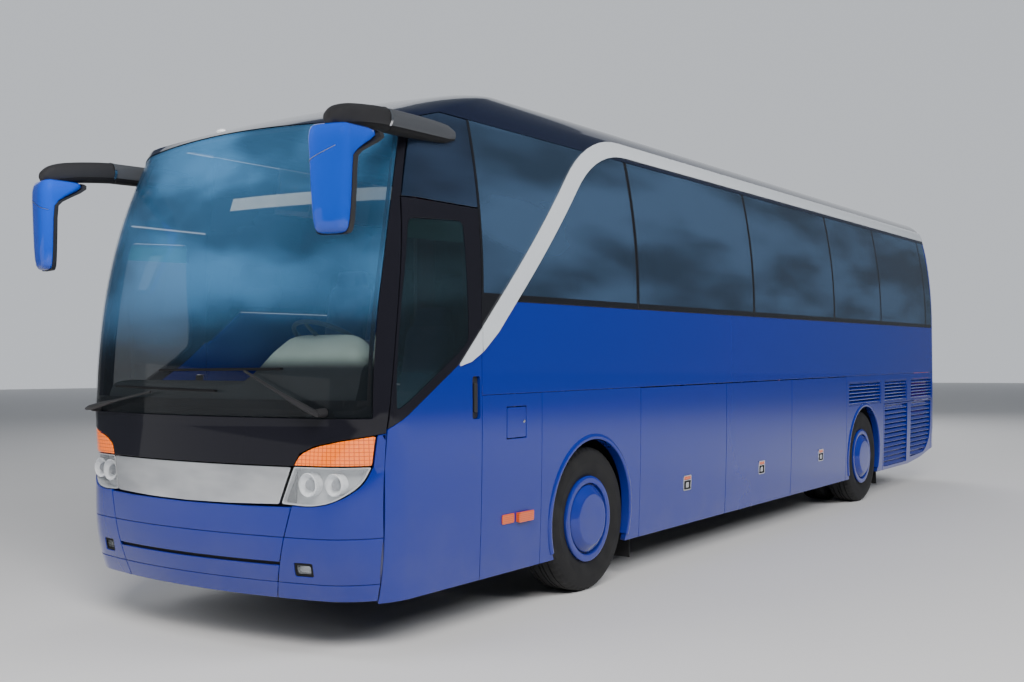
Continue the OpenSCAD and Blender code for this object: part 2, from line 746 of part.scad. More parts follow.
module roof() {
    rows = len(roof_rows) + 1;
    n = len(front_cs) + len(roof_rear_cs);
    nf = len(front_cs);
    nr = len(roof_rear_cs);
    outer = [for (k = [0:rows - 1]) each roof_row(k, 0)];
    inner = [for (k = [0:rows - 1]) each roof_row(k, 1)];
    m = rows * n;
    function id(k, j, s) = s * m + k * n + (j + n) % n;
    shell = [for (k = [0:rows - 2], j = [0:n - 1]) each [
        [id(k, j, 0), id(k + 1, j, 0), id(k + 1, j + 1, 0)],
        [id(k, j, 0), id(k + 1, j + 1, 0), id(k, j + 1, 0)],
        [id(k, j, 1), id(k + 1, j + 1, 1), id(k + 1, j, 1)],
        [id(k, j, 1), id(k, j + 1, 1), id(k + 1, j + 1, 1)]
    ]];
    foot = [for (j = [0:n - 1]) each [
        [id(0, j, 0), id(0, j + 1, 1), id(0, j, 1)],
        [id(0, j, 0), id(0, j + 1, 0), id(0, j + 1, 1)]
    ]];
    top = rows - 1;
    hf = floor(nf / 2);
    hr = floor(nr / 2);
    // The crown is closed by strips between the right and the left half
    front_lid = [for (j = [0:hf - 1]) each
        let(a = j, b = j + 1, c = nf - 2 - j, d = nf - 1 - j)
        b == c ? [[a, b, d]] : [[a, b, d], [b, c, d]]];
    rear_lid = [for (j = [0:hr - 1]) each
        let(a = nf + j, b = nf + j + 1, c = nf + nr - 2 - j, d = nf + nr - 1 - j)
        b == c ? [[a, b, d]] : [[a, b, d], [b, c, d]]];
    mid_lid = [[nf - 1, nf, 0], [nf, nf + nr - 1, 0]];
    lid = concat(front_lid, rear_lid, mid_lid);
    caps = [for (f = lid) each [
        [id(top, f[2], 0), id(top, f[1], 0), id(top, f[0], 0)],
        [id(top, f[0], 1), id(top, f[1], 1), id(top, f[2], 1)]
    ]];
    color(navy)
    polyhedron(concat(outer, inner), concat(shell, foot, caps));
    // Roof hatches
    color(navy)
    for (y = [900, 5600]) block(-390, 390, y, y + 720, crown_z - 22, crown_z + 28);
}

// Side walls: the painted sides between the front doors and the tail
corner_glass_z = 1765;
// Height of the tail's lower edge, behind the skirt's upward sweep
tail_low_z = 416;
rear_sweep = [[wheelbase + 1750, 0], [tail_y + 10, 0], [tail_y + 10, 430], [side_end, tail_low_z], [wheelbase + 2300, 335], [wheelbase + 1750, skirt_z]];

flap_3_w = hold_rear + 10 - flap_start - flap_1_w - flap_2_w;
flap_right_w = (mid_door_y - 63 - flap_start) / 2;
flap_left = [
    [flap_start, flap_1_w],
    [flap_start + flap_1_w, flap_2_w],
    [flap_start + flap_1_w + flap_2_w, flap_3_w]
];
flap_right = [
    [flap_start, flap_right_w],
    [flap_start + flap_right_w, flap_right_w]
];

radiator_y0 = wheelbase + 700;
radiator_y1 = side_end - 45;
grille_high = [[-566, 1159], [726, 933], [1813, 1003]];

module arch_hole(y) {
    translate([700, y, arch_z]) rotate([0, 90, 0]) cylinder(h = 800, r = arch_r);
    block(700, 1500, y - arch_r + 58, y + arch_r - 58, 0, arch_z - 200);
}

// Concave seats that turn round the hinge barrels
function flap_hinges(y, w) = [y + w * 0.15, y + w * 0.85];

module wall_side(left) {
    flaps = left ? flap_left : flap_right;
    union() {
        difference() {
            union() {
                side_stock(-door_rear, side_end, low_zs, wall_t);
                intersection() {
                    side_stock(-door_rear, side_end, steps(1700, belt_z, 2), wall_t);
                    side_cut(box_path(-door_rear, 0, 1700, belt_z));
                }
            }
            side_cut([[-door_rear - 1, corner_glass_z], [-door_rear + 330, belt_z + lip], [-door_rear - 1, belt_z + lip]]);
            arch_hole(0);
            arch_hole(wheelbase);
            for (f = flaps) side_cut(box_path(f[0], f[0] + f[1] + lip, 0, flap_top_z));
            side_cut(box_path(flaps[0][0], flap_start + flap_1_w + flap_2_w + flap_3_w, 0, skirt_z + 5));
            if (!left) side_cut(box_path(mid_door_y, mid_door_y + mid_door_w, 0, belt_z - 30));
            if (left) side_cut(box_path(-fuel_y, -fuel_y + fuel_w, fuel_z, fuel_z + fuel_h));
            if (left) side_cut(box_path(radiator_y0, radiator_y1, 0, grille_low_top_z + 10));
            for (g = grille_high) side_cut(box_path(wheelbase + g[0], wheelbase + g[0] + g[1], grille_high_low_z, grille_high_top_z));
            side_cut(rear_sweep);
        }
        for (f = flaps, y = flap_hinges(f[0], f[1])) rod_y(half_w - barrel_in, y - 30, y + 30, flap_top_z, barrel_r);
        if (left) {
            for (y = [radiator_y0 + 300, radiator_y1 - 300])
                rod_y(body_x(grille_low_top_z + 10) - barrel_in, y - 30, y + 30, grille_low_top_z + 10, barrel_r);
            rod_z(body_x(fuel_z) - barrel_in, -fuel_y, fuel_z + 50, fuel_z + 110, barrel_r);
        }
    }
}

module side_wall_left() {
    color(blue) wall_side(true);
}

module side_wall_right() {
    color(blue) mirror([1, 0, 0]) wall_side(false);
}

// Tinted glass: five panes on each side, the quarter panes over the front doors and the rear window
last_pane_w = 283;
pane_joints = [-door_rear, hold_front + 11, wheelbase - 3174, wheelbase - 1003, wheelbase + 625,
    side_end - last_pane_w, side_end];
rear_glass_w = 1060;
rear_glass_low = 2080;
rear_glass_top = 2980;
module tinted_glass() {
    color([0.08, 0.11, 0.18]) {
        both_sides() {
            for (i = [0:len(pane_joints) - 2])
                side_stock(pane_joints[i] + seam / 2, pane_joints[i + 1] - seam / 2, glass_zs, glass_t, 2);
            intersection() {
                side_stock(-door_rear + seam / 2, -door_rear + 330, [corner_glass_z, belt_z + touch], glass_t, 2);
                side_cut([[-door_rear, corner_glass_z + 2], [-door_rear + 327, belt_z + touch], [-door_rear, belt_z + touch]]);
            }
            corner_plate(pane_cs, door_top_z + 1, 3, glass_t, 2, -door_rear - seam / 2);
        }
        intersection() {
            rear_skin(steps(-1.3, 1.3, 12), steps(rear_glass_low, rear_glass_top, 4), glass_t, 2);
            block(-rear_glass_w, rear_glass_w, tail_y - 700, tail_y + 100, rear_glass_low, rear_glass_top);
        }
    }
}

// Silver bands: they rise behind the front doors and run back along the roof's edge
band_t = 10;
band_top_z = 3290;
band_low_z = 3180;
module band_shape() {
    out_r = 1270;
    in_r = 1170;
    out_y = 650;
    in_y = 700;
    polygon(concat(
        [[-1577, 1612], [-1464, 1638], [-1339, 1700], [-1176, 1822]],
        [for (a = [45:-9:0]) [in_y - in_r * sin(a), band_low_z - in_r * (1 - cos(a))]],
        [[side_end, band_low_z], [side_end, band_top_z]],
        [for (a = [0:9:45]) [out_y - out_r * sin(a), band_top_z - out_r * (1 - cos(a))]],
        [[-1577, 1625]]
    ));
}

band_zs = concat([1600], steps(lean_z, glass_top_z, 5), [eave_z, edge_z + roof_edge_r * sin(roof_tilts[0])]);
module band_stock(y0, y1, sink = 0) {
    intersection() {
        side_stock(y0, y1, band_zs, band_t - touch + sink, -band_t);
        translate([700, 0, 0]) rotate([90, 0, 90]) linear_extrude(800) band_shape();
    }
}

module side_trim() {
    color(silver)
    both_sides()
    band_stock(-door_rear + seam / 2, side_end);
}

// Tail: painted panel with the corners, cut for window, lid and lamps
lid_hinge_x = 200;
lamp_low_z = 860;
lamp_high_z = 1560;
tail_zs = concat(steps(tail_low_z, flap_top_z, 4), [belt_z], steps(lean_z, glass_top_z, 5));
tail_cs = concat([-3], steps(-2, -1, 5), [0], steps(1, 2, 5), [3]);

module rear_panel() {
    color(blue)
    union() {
        difference() {
            rear_skin(tail_cs, tail_zs, wall_t, 0, side_end + seam);
            block(-rear_glass_w - seam, rear_glass_w + seam, tail_y - 700, tail_y + 100, rear_glass_low - touch, rear_glass_top + touch);
            block(-lid_half_w, lid_half_w, tail_y - 700, tail_y + 100, lid_low_z, lid_top_z);
            plate_holes(tail_y - 100, tail_y + 50);
            both_sides() block(lid_half_w + 60, 1400, tail_y - 150, tail_y + 100, lamp_low_z, lamp_high_z);
        }
        for (x = [-lid_hinge_x, lid_hinge_x]) rod_x(x - 30, x + 30, tail_y - barrel_in, lid_top_z, barrel_r);
    }
}

module tail_lamps() {
    color([0.7, 0.05, 0.05])
    both_sides()
    intersection() {
        rear_skin(steps(-2, -1, 5), steps(lamp_low_z + touch, lamp_high_z - touch, 3), wall_t, 2);
        block(lid_half_w + 63, 1400, tail_y - 147, tail_y + 100, lamp_low_z + touch, lamp_high_z - touch);
    }
}

module engine_lid() {
    color(blue)
    difference() {
        intersection() {
            rear_skin(steps(-1, 1, 8), steps(lid_low_z + gap, lid_top_z - gap, 3), wall_t);
            block(-lid_half_w + gap, lid_half_w - gap, tail_y - 700, tail_y + 100, lid_low_z, lid_top_z);
        }
        for (x = [-lid_hinge_x, lid_hinge_x]) rod_x(x - 36, x + 36, tail_y - barrel_in, lid_top_z, notch_r);
        for (z = [1000:slat_pitch:1520]) block(-600, 600, tail_y - 120, tail_y + 20, z, z + 26);
    }
}

// A grille: a frame with sloping slats, from y0 to y1 and z0 to z1
module grille(y0, y1, z0, z1) {
    x1 = body_x(z0) - 4;
    count = floor((z1 - z0 - 20) / slat_pitch);
    start = z0 + (z1 - z0 - count * slat_pitch) / 2;
    difference() {
        block(x1 - 34, x1, y0, y1, z0, z1);
        for (i = [0:count - 1]) block(x1 - 40, x1 + 10, y0 + 16, y1 - 16, start + i * slat_pitch + 8, start + (i + 1) * slat_pitch - 12);
    }
}

module rear_grilles() {
    color(blue)
    both_sides()
    for (g = grille_high)
        grille(wheelbase + g[0] + 1, wheelbase + g[0] + g[1] - 1, grille_high_low_z + touch, grille_high_top_z - touch);
}

// Hinged door with the two lower grilles at the left rear
module radiator_door() {
    top = grille_low_top_z + 10 - gap;
    a = wheelbase + 735;
    b = wheelbase + 1679;
    c = wheelbase + 1831;
    color(blue)
    difference() {
        intersection() {
            side_stock(radiator_y0 + gap, radiator_y1 - gap, steps(skirt_z, top, 4), wall_t);
            side_cut(box_path(radiator_y0, radiator_y1, skirt_z, top));
        }
        for (y = [[a, b], [c, radiator_y1 - 50]], z = [340 + (y[0] > b ? slat_pitch * 2 : 0):slat_pitch:top - 50])
            block(1100, 1400, y[0], y[1], z + 12, z + slat_pitch - 8);
        for (y = [radiator_y0 + 300, radiator_y1 - 300])
            rod_y(body_x(grille_low_top_z + 10) - barrel_in, y - 36, y + 36, grille_low_top_z + 10, notch_r);
        side_cut(rear_sweep);
    }
}

// Luggage flap, hinged along its upper edge
module flap(f) {
    color(blue)
    difference() {
        side_stock(f[0] + gap / 2, f[0] + f[1] - gap / 2, steps(skirt_z, flap_top_z - gap, 4), wall_t);
        for (y = flap_hinges(f[0], f[1])) rod_y(half_w - barrel_in, y - 36, y + 36, flap_top_z, notch_r);
    }
}

module fuel_flap() {
    color(blue)
    difference() {
        side_stock(-fuel_y + gap, -fuel_y + fuel_w - gap, [fuel_z + gap, fuel_z + fuel_h - gap], 20);
        rod_z(body_x(fuel_z) - barrel_in, -fuel_y, fuel_z + 44, fuel_z + 116, notch_r);
    }
}

// Front doors. Both are cut from the skin of the front corner
module door_skin(t, inset = 0) {
    front_skin(corner_cs, door_stock_zs, t, inset, -door_rear);
}

// The glass in a front door, from the frame's inner edge; its lower edge rises to the rear
function door_glass_path(g = 0) = [
    [-door_front + 55 - g, door_glass_z - g],
    [-1850, door_glass_z - g],
    [-1700, 1425 - g],
    [-door_rear - door_frame + g, 1800 - g],
    [-door_rear - door_frame + g, door_top_z - door_frame + g],
    [-door_top_front + door_frame - 10 - g, door_top_z - door_frame + g]
];

// Barrels of the driver's door: upright, just outside the skin at the door's front edge
door_hinge_z = [760, 1180];
door_barrel_h = 50;
door_barrel_r = 13;
door_barrel_x = half_w - 29;
door_hinge_top = door_hinge_z[1] + door_barrel_h;
// Reach of the door's front edge round its barrels, cut free in the pillar above them
barrel_sweep_r = 38;
module door_barrels(r, more) {
    for (z = door_hinge_z) rod_z(door_barrel_x, -door_front, z - more, z + door_barrel_h + more, r);
}

module front_door_panel() {
    intersection() {
        difference() {
            door_skin(wall_t);
            side_cut(door_glass_path(0), 600);
        }
        side_cut(door_path(gap), 0);
    }
}

// Tip of the silver band on a front door
module door_band() {
    band_stock(-1577, -door_rear - gap, 2);
}

module driver_door() {
    color(blue)
    union() {
        difference() {
            front_door_panel();
            door_barrels(door_barrel_r + 0.3, 6);
        }
        door_band();
    }
}

module door_pane() {
    intersection() {
        front_skin(corner_cs, door_stock_zs, glass_t, 3, -door_rear);
        side_cut(door_glass_path(-touch), 600);
    }
}

module driver_door_glass() {
    color([0.2, 0.28, 0.32]) door_pane();
}

// Passenger doors swing out on arms and stay parallel to the side
arm_h = 40;
arm_w = 38;
arm_end = 24;
arm_levels = [520, 1150];
shaft_inset = 150;
front_shaft = [-1160, -door_front + shaft_inset];
front_pin = front_shaft + [30, door_arm];
mid_shaft = [-1160, mid_door_y + mid_door_w - shaft_inset];
mid_pin = mid_shaft + [30, -door_arm];

module arm_bracket(p) {
    for (z = arm_levels)
        difference() {
            block(-body_x(z) + wall_t - lip, p[0] + 30, p[1] - 30, p[1] + 30, z + arm_h + 1, z + arm_h + 26);
            rod_z(p[0], p[1], z, z + 100, shaft_r * 0.7 + fit_gap);
        }
}

module door_arms(s, p) {
    color(black)
    union() {
        rod_z(s[0], s[1], step_z - step_t + 4, arm_levels[1] + arm_h + 6, shaft_r);
        for (z = arm_levels) {
            translate([s[0], s[1], z])
            rotate([0, 0, -atan2(p[0] - s[0], p[1] - s[1])])
            translate([-arm_w / 2, -arm_end, 0])
            cube([arm_w, norm(p - s) + 2 * arm_end, arm_h]);
            rod_z(p[0], p[1], z, z + arm_h + 24, shaft_r * 0.7);
        }
    }
}

module front_door() {
    color(blue)
    union() {
        mirror([1, 0, 0]) front_door_panel();
        arm_bracket(front_pin);
        mirror([1, 0, 0]) door_band();
    }
}

module front_door_glass() {
    color([0.2, 0.28, 0.32]) mirror([1, 0, 0]) door_pane();
}

module front_door_arms() {
    door_arms(front_shaft, front_pin);
}

mid_glass = [mid_door_y + 90, mid_door_y + mid_door_w - 90, 1250, 1900];
module mid_door() {
    color(blue)
    union() {
        mirror([1, 0, 0])
        difference() {
            side_stock(mid_door_y + gap, mid_door_y + mid_door_w - gap, concat(steps(skirt_z, flap_top_z, 4), [belt_z - 30 - gap]), wall_t);
            side_cut(box_path(mid_glass[0], mid_glass[1], mid_glass[2], mid_glass[3]));
        }
        arm_bracket(mid_pin);
    }
}

module mid_door_glass() {
    color([0.2, 0.28, 0.32])
    mirror([1, 0, 0])
    intersection() {
        side_stock(mid_glass[0] + touch, mid_glass[1] - touch, [mid_glass[2] + touch, flap_top_z, mid_glass[3] - touch], glass_t, 3);
        side_cut(box_path(mid_glass[0], mid_glass[1], mid_glass[2], mid_glass[3]));
    }
}

module mid_door_arms() {
    door_arms(mid_shaft, mid_pin);
}

// Engine block, low in the tail
module engine() {
    color(grey) block(-400, 400, wheelbase + 900, tail_y - 260, rail_z + rail_h, floor_z - floor_t - 60);
}

// Axles
module front_axle() {
    color(grey)
    union() {
        block(-kingpin_x + 40, kingpin_x - 40, -60, 60, tyre_r - 75, tyre_r - 10);
        both_sides() {
            rod_z(kingpin_x, 0, tyre_r - 80, tyre_r + 80, 50);
            rod_z(kingpin_x, 0, tyre_r - 135, tyre_r + 135, kingpin_r);
            rod_z(rail_x, 0, tyre_r - 30, rail_z, 110);
        }
    }
}

module rear_axle() {
    color(grey)
    union() {
        rod_x(-700, 700, wheelbase, tyre_r, 80);
        rod_x(-180, 180, wheelbase, tyre_r, 200);
        rod_x(-half_track - 60, half_track + 60, wheelbase, tyre_r, spindle_r);
        both_sides() for (y = [-380, 380]) {
            block(380, 480, wheelbase + min(0, y), wheelbase + max(0, y), tyre_r - 40, tyre_r + 30);
            rod_z(rail_x, wheelbase + y, tyre_r - 40, rail_z, 110);
        }
    }
}

// Knuckle with its fork and the wheel's spindle
module knuckle() {
    difference() {
        union() {
            for (z = [tyre_r - 135, tyre_r + 85]) block(kingpin_x - 50, kingpin_x + 90, -50, 50, z, z + 50);
            block(kingpin_x + 58, kingpin_x + 90, -50, 50, tyre_r - 135, tyre_r + 135);
            rod_x(kingpin_x + 60, half_track + 60, 0, tyre_r, spindle_r);
        }
        rod_z(kingpin_x, 0, tyre_r - 200, tyre_r + 200, kingpin_r + fit_gap);
    }
}

module knuckle_left() {
    color(grey) knuckle();
}

module knuckle_right() {
    color(grey) mirror([1, 0, 0]) knuckle();
}

// Tyre profile: [distance from the tyre's middle plane, radius], shoulders and bead
module tyre_ring(x) {
    h = tyre_w / 2;
    translate([x, 0, 0])
    rotate([0, 90, 0])
    rotate_extrude($fn = 72)
    polygon([
        [rim_r, -h + 32], [rim_r + 26, -h + 24], [rim_r + 110, -h], [tyre_r - 62, -h + 6], [tyre_r - 16, -h + 26],
        [tyre_r - 4, -h + 48], [tyre_r, -h + 84], [tyre_r, h - 84],
        [tyre_r - 4, h - 48], [tyre_r - 16, h - 26], [tyre_r - 62, h - 6], [rim_r + 110, h], [rim_r + 26, h - 24], [rim_r, h - 32]
    ]);
}

// Rim with its disc, hub and the domed cover; x is the outer tyre's middle plane
module rim_shape(x, inner) {
    h = tyre_w / 2;
    translate([x, 0, 0])
    rotate([0, 90, 0])
    rotate_extrude($fn = 72)
    polygon([
        [spindle_r + fit_gap, 20], [spindle_r + fit_gap, inner ? -60 : -80], [90, inner ? -60 : -80],
        [90, inner ? -30 : 20], [rim_r - 24, inner ? -30 : 20],
        [rim_r - 24, inner ? -twin_pitch - h + 32 : -h + 32], [rim_r, inner ? -twin_pitch - h + 32 : -h + 32], [rim_r, h - 32],
        [rim_r + 2, h - 31], [cover_r, h - 14], [cover_r - 4, h - 4], [cover_r - 50, h - 6], [cover_r - 56, h - 18], [cover_r - 66, h - 18],
        [cover_r - 70, h - 2], [150, h + 6], [120, h + 6], [112, h], [0, h],
        [0, h - 60], [200, h - 60], [200, 50], [spindle_r + fit_gap, 50]
    ]);
}

module wheel_at(left, rear) {
    translate([0, rear ? wheelbase : 0, tyre_r])
    mirror([left ? 0 : 1, 0, 0])
    children();
}

module tyre_front_left() {
    color(black) wheel_at(true, false) tyre_ring(half_track);
}

module tyre_front_right() {
    color(black) wheel_at(false, false) tyre_ring(half_track);
}

module tyre_rear_left() {
    color(black) wheel_at(true, true) for (x = [half_track, half_track - twin_pitch]) tyre_ring(x);
}

module tyre_rear_right() {
    color(black) wheel_at(false, true) for (x = [half_track, half_track - twin_pitch]) tyre_ring(x);
}

module rim_front_left() {
    color(blue) wheel_at(true, false) rim_shape(half_track, false);
}

module rim_front_right() {
    color(blue) wheel_at(false, false) rim_shape(half_track, false);
}

module rim_rear_left() {
    color(blue) wheel_at(true, true) rim_shape(half_track, true);
}

module rim_rear_right() {
    color(blue) wheel_at(false, true) rim_shape(half_track, true);
}

// Mirrors: a black arm from the roof's front corner and a blue head that hangs from it
mirror_z = 3006;
mirror_drop = 75;
mirror_x = 1230;
mirror_front = front_y;

module mirror_arm(z) {
    hull() {
        translate([1175, -1560, z - 10]) sphere(r = 34, $fn = 16);
        translate([1215, -2120, z]) sphere(r = 58, $fn = 16);
    }
    hull() {
        translate([1215, -2120, z]) sphere(r = 58, $fn = 16);
        translate([mirror_x, mirror_front + 210, z - 10]) sphere(r = 62, $fn = 16);
    }
    hull() {
        translate([mirror_x, mirror_front + 210, z - 10]) sphere(r = 62, $fn = 16);
        translate([mirror_x, mirror_front + 190, z - 80]) sphere(r = 60, $fn = 16);
    }
}

module mirror_head(z) {
    hull() {
        translate([mirror_x, mirror_front + 120, z - 120]) scale([1.25, 1, 0.5]) sphere(r = 120, $fn = 20);
        translate([mirror_x, mirror_front + 115, z - 420]) scale([1.25, 0.8, 0.5]) sphere(r = 115, $fn = 20);
        translate([mirror_x + 10, mirror_front + 140, z - 630]) scale([1, 0.7, 0.5]) sphere(r = 70, $fn = 16);
    }
}

// The arm is cut off where it meets the pillar and the quarter pane
module mirror_arm_cut(z) {
    difference() {
        mirror_arm(z);
        mirror_head(z);
        corner_plate(concat([1, 1.25, screen_c, pillar_c], pane_cs), door_top_z + 1, 3, 200, 2 - 2 * touch, 0);
    }
}

module mirror_shells() {
    color(blue) {
        mirror_head(mirror_z);
        mirror([1, 0, 0]) mirror_head(mirror_z - mirror_drop);
    }
}

module mirror_arms() {
    color(black) {
        mirror_arm_cut(mirror_z);
        mirror([1, 0, 0]) mirror_arm_cut(mirror_z - mirror_drop);
    }
}

// Wipers: each has a round pivot, an arm and a blade that follow the windscreen
// Columns: place and height of the pivot, the arm's end, and the blade's two ends
wiper_rows = [
    [[965, 1300], [450, 1595], [-284, 1599], [699, 1606]],
    [[-1070, 1300], [-359, 1478], [-770, 1496], [223, 1478]]
];
wiper_pivot_r = 26;

// Place across the front as a column number for a distance x from the middle
function col_at(x, z) =
    let(w = body_x(z), rc = corner_r(z), turn = asin((w - rc) / (front_r - rc)), a = abs(x), s = x < 0 ? -1 : 1)
    a <= front_r * sin(turn) ? s * asin(a / front_r) / turn
    : s * (1 + (asin(min(1, (a - w + rc) / rc)) - turn) / (90 - turn));

// A bar that lies on the skin from a to b, both given as [x, z]
module skin_bar(a, b, h, high, low) {
    n = 9;
    pts = [for (i = [0:n]) [a[0] + (b[0] - a[0]) * i / n, a[1] + (b[1] - a[1]) * i / n]];
    plate(
        [for (d = [-h / 2, h / 2]) [for (p = pts) front_pt(col_at(p[0], p[1]), p[1] + d, -high)]],
        [for (d = [-h / 2, h / 2]) [for (p = pts) front_pt(col_at(p[0], p[1]), p[1] + d, -low)]]
    );
}

module wipers() {
    color(black)
    for (w = wiper_rows) {
        ends = w[2][0] < w[3][0] ? [w[2], w[3]] : [w[3], w[2]];
        arm = w[0][0] < w[1][0] ? [w[0], w[1]] : [w[1], w[0]];
        skin_bar(ends[0], ends[1], 26, 22, -3.6);
        skin_bar(arm[0], arm[1], 34, 52, 20);
        y = front_pt(col_at(w[0][0], w[0][1]), w[0][1])[1];
        difference() {
            translate([w[0][0], y + 60, w[0][1]]) rotate([90, 0, 0]) cylinder(h = 120, r = wiper_pivot_r);
            front_skin(front_cs, steps(lamp_top_z + 2, screen_low_z, 4), 100, 2 - touch);
        }
    }
}

dash_gap = 80;
wheel_at = [640, -2040, 1780];
wheel_lean = 28;
wheel_r = 215;
column_len = 300;
column_r = 35;
module dashboard() {
    color(black)
    union() {
        difference() {
            block(-1050, 1100, -2420, -1950, 1180, 1560);
            front_skin(front_cs, steps(900, 1800, 3), 300 + dash_gap, -300);
        }
        block(-200, 1100, -2250, -2100, platform_z, 1190);
        translate(wheel_at) rotate([-wheel_lean, 0, 0]) {
            translate([0, 0, -column_len]) cylinder(h = column_len, r = column_r);
            rotate_extrude($fn = 48) translate([wheel_r, 0]) circle(r = 16, $fn = 16);
            for (a = [-150, -30, 90]) rotate([0, 0, a]) block(column_r - 5, wheel_r, -12, 12, -8, 8);
        }
    }
}

// A double seat seen from the side: [y, z] from the foot of the cushion
seat_path = [[0, 0], [420, 0], [560, 0], [620, 120], [700, 640], [690, 700], [640, 712], [590, 690], [500, 180], [440, 130], [30, 150], [0, 120]];
module seat(x0, x1, y, z) {
    translate([x0, y, z + 330])
    rotate([90, 0, 90])
    linear_extrude(x1 - x0)
    polygon(seat_path);
    block(x0 + 60, x1 - 60, y + 150, y + 450, z, z + 330);
}

module seats() {
    color([0.12, 0.13, 0.2]) {
        for (i = [0:seat_rows - 1]) {
            y = -700 + i * seat_pitch;
            seat(290, 290 + seat_w, y, floor_z);
            if (y + 700 < mid_door_y || y > mid_door_y + mid_door_w) seat(-290 - seat_w, -290, y, floor_z);
        }
        seat(330, 850, -1620, platform_z);
    }
}

// Luggage racks: an open tray along each side, held by a thin wall up to the roof
rack_front = -700;
rack_rear = side_end - 100;
rack_low_z = 2800;
rack_mid_z = rack_low_z + 140;
rack_edge_z = rack_low_z + 280;
rack_deep = 380;
rack_wall = 40;
module luggage_racks() {
    color(grey)
    both_sides()
    union() {
        difference() {
            side_stock(rack_front, rack_rear, [rack_low_z, rack_mid_z, rack_edge_z], rack_deep, glass_t + 4);
            side_stock(rack_front - 20, rack_rear + 20, [rack_low_z + rack_wall, rack_mid_z, rack_edge_z + 120],
                rack_deep - 50, glass_t + rack_wall);
        }
        side_stock(rack_front, rack_rear, [rack_mid_z, glass_top_z], 12, glass_t + 4);
    }
}

module mud_flaps() {
    color(black)
    both_sides() {
        block(950, 1190, hold_front - 10, hold_front, 140, 620);
        block(640, 1190, well_rear - 10, well_rear, 140, 620);
    }
}

// Curtain behind the driver, on a rail with two posts
curtain_y = -780;
curtain_top_z = 2900;
module curtains() {
    color([0.3, 0.03, 0.08])
    union() {
        for (x = [290, 1120]) rod_z(x, curtain_y, floor_z, curtain_top_z, 14);
        rod_x(290, 1120, curtain_y, curtain_top_z, 14);
        block(300, 460, curtain_y - 25, curtain_y + 25, floor_z + 250, curtain_top_z);
    }
}

place() chassis();
place() cabin_floor();
place() front_bumper();
place() front_panel();
place() front_frame();
place() windscreen();
place() headlamps();
place() amber_lamps();
place() roof();
place() side_wall_left();
place() side_wall_right();
place() tinted_glass();
place() side_trim();
place() rear_panel();
place() rear_grilles();
place() tail_lamps();
place() engine();
place() front_axle();
place() rear_axle();
place() mirror_shells();
place() mirror_arms();
place() wipers();
place() dashboard();
place() seats();
place() luggage_racks();
place() mud_flaps();
place() curtains();
place() knuckle_left();
place() knuckle_right();
place() tyre_front_left();
place() tyre_front_right();
place() tyre_rear_left();
place() tyre_rear_right();
place() rim_front_left();
place() rim_front_right();
place() rim_rear_left();
place() rim_rear_right();
place() driver_door();
place() driver_door_glass();
place() front_door();
place() front_door_glass();
place() front_door_arms();
place() mid_door();
place() mid_door_glass();
place() mid_door_arms();
place() flap(flap_left[0]);  // flap_left_1
place() flap(flap_left[1]);  // flap_left_2
place() flap(flap_left[2]);  // flap_left_3
place() mirror([1, 0, 0]) flap(flap_right[0]);  // flap_right_1
place() mirror([1, 0, 0]) flap(flap_right[1]);  // flap_right_2
place() radiator_door();
place() engine_lid();
place() fuel_flap();
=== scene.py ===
"""Finish, fine shapes, soft pieces, light and camera of the touring coach.

Every piece is drawn from the middle of the front axle on the ground, in metres, with the front at -Y and
the coach's left at +X, and make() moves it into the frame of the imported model.
"""
import json
import math

import bpy
import numpy as np
from mathutils import Matrix, Vector
from mathutils.geometry import delaunay_2d_cdt

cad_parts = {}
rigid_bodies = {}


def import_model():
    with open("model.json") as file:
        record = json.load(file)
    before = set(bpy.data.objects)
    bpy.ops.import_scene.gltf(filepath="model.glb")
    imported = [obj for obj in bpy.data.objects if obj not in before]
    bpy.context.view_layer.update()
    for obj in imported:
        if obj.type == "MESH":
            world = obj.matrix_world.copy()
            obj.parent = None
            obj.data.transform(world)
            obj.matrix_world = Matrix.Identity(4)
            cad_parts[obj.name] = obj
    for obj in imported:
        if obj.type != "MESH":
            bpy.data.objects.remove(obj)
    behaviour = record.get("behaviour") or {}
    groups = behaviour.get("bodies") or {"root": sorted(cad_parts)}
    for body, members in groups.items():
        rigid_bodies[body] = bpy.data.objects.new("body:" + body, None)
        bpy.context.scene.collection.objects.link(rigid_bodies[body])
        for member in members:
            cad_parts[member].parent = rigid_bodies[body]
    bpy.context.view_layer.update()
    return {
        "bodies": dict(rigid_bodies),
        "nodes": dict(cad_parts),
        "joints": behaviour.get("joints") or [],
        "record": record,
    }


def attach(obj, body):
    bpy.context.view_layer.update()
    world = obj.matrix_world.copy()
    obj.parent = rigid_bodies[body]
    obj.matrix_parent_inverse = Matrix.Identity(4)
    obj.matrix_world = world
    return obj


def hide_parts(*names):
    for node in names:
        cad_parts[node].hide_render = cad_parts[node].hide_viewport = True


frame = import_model()

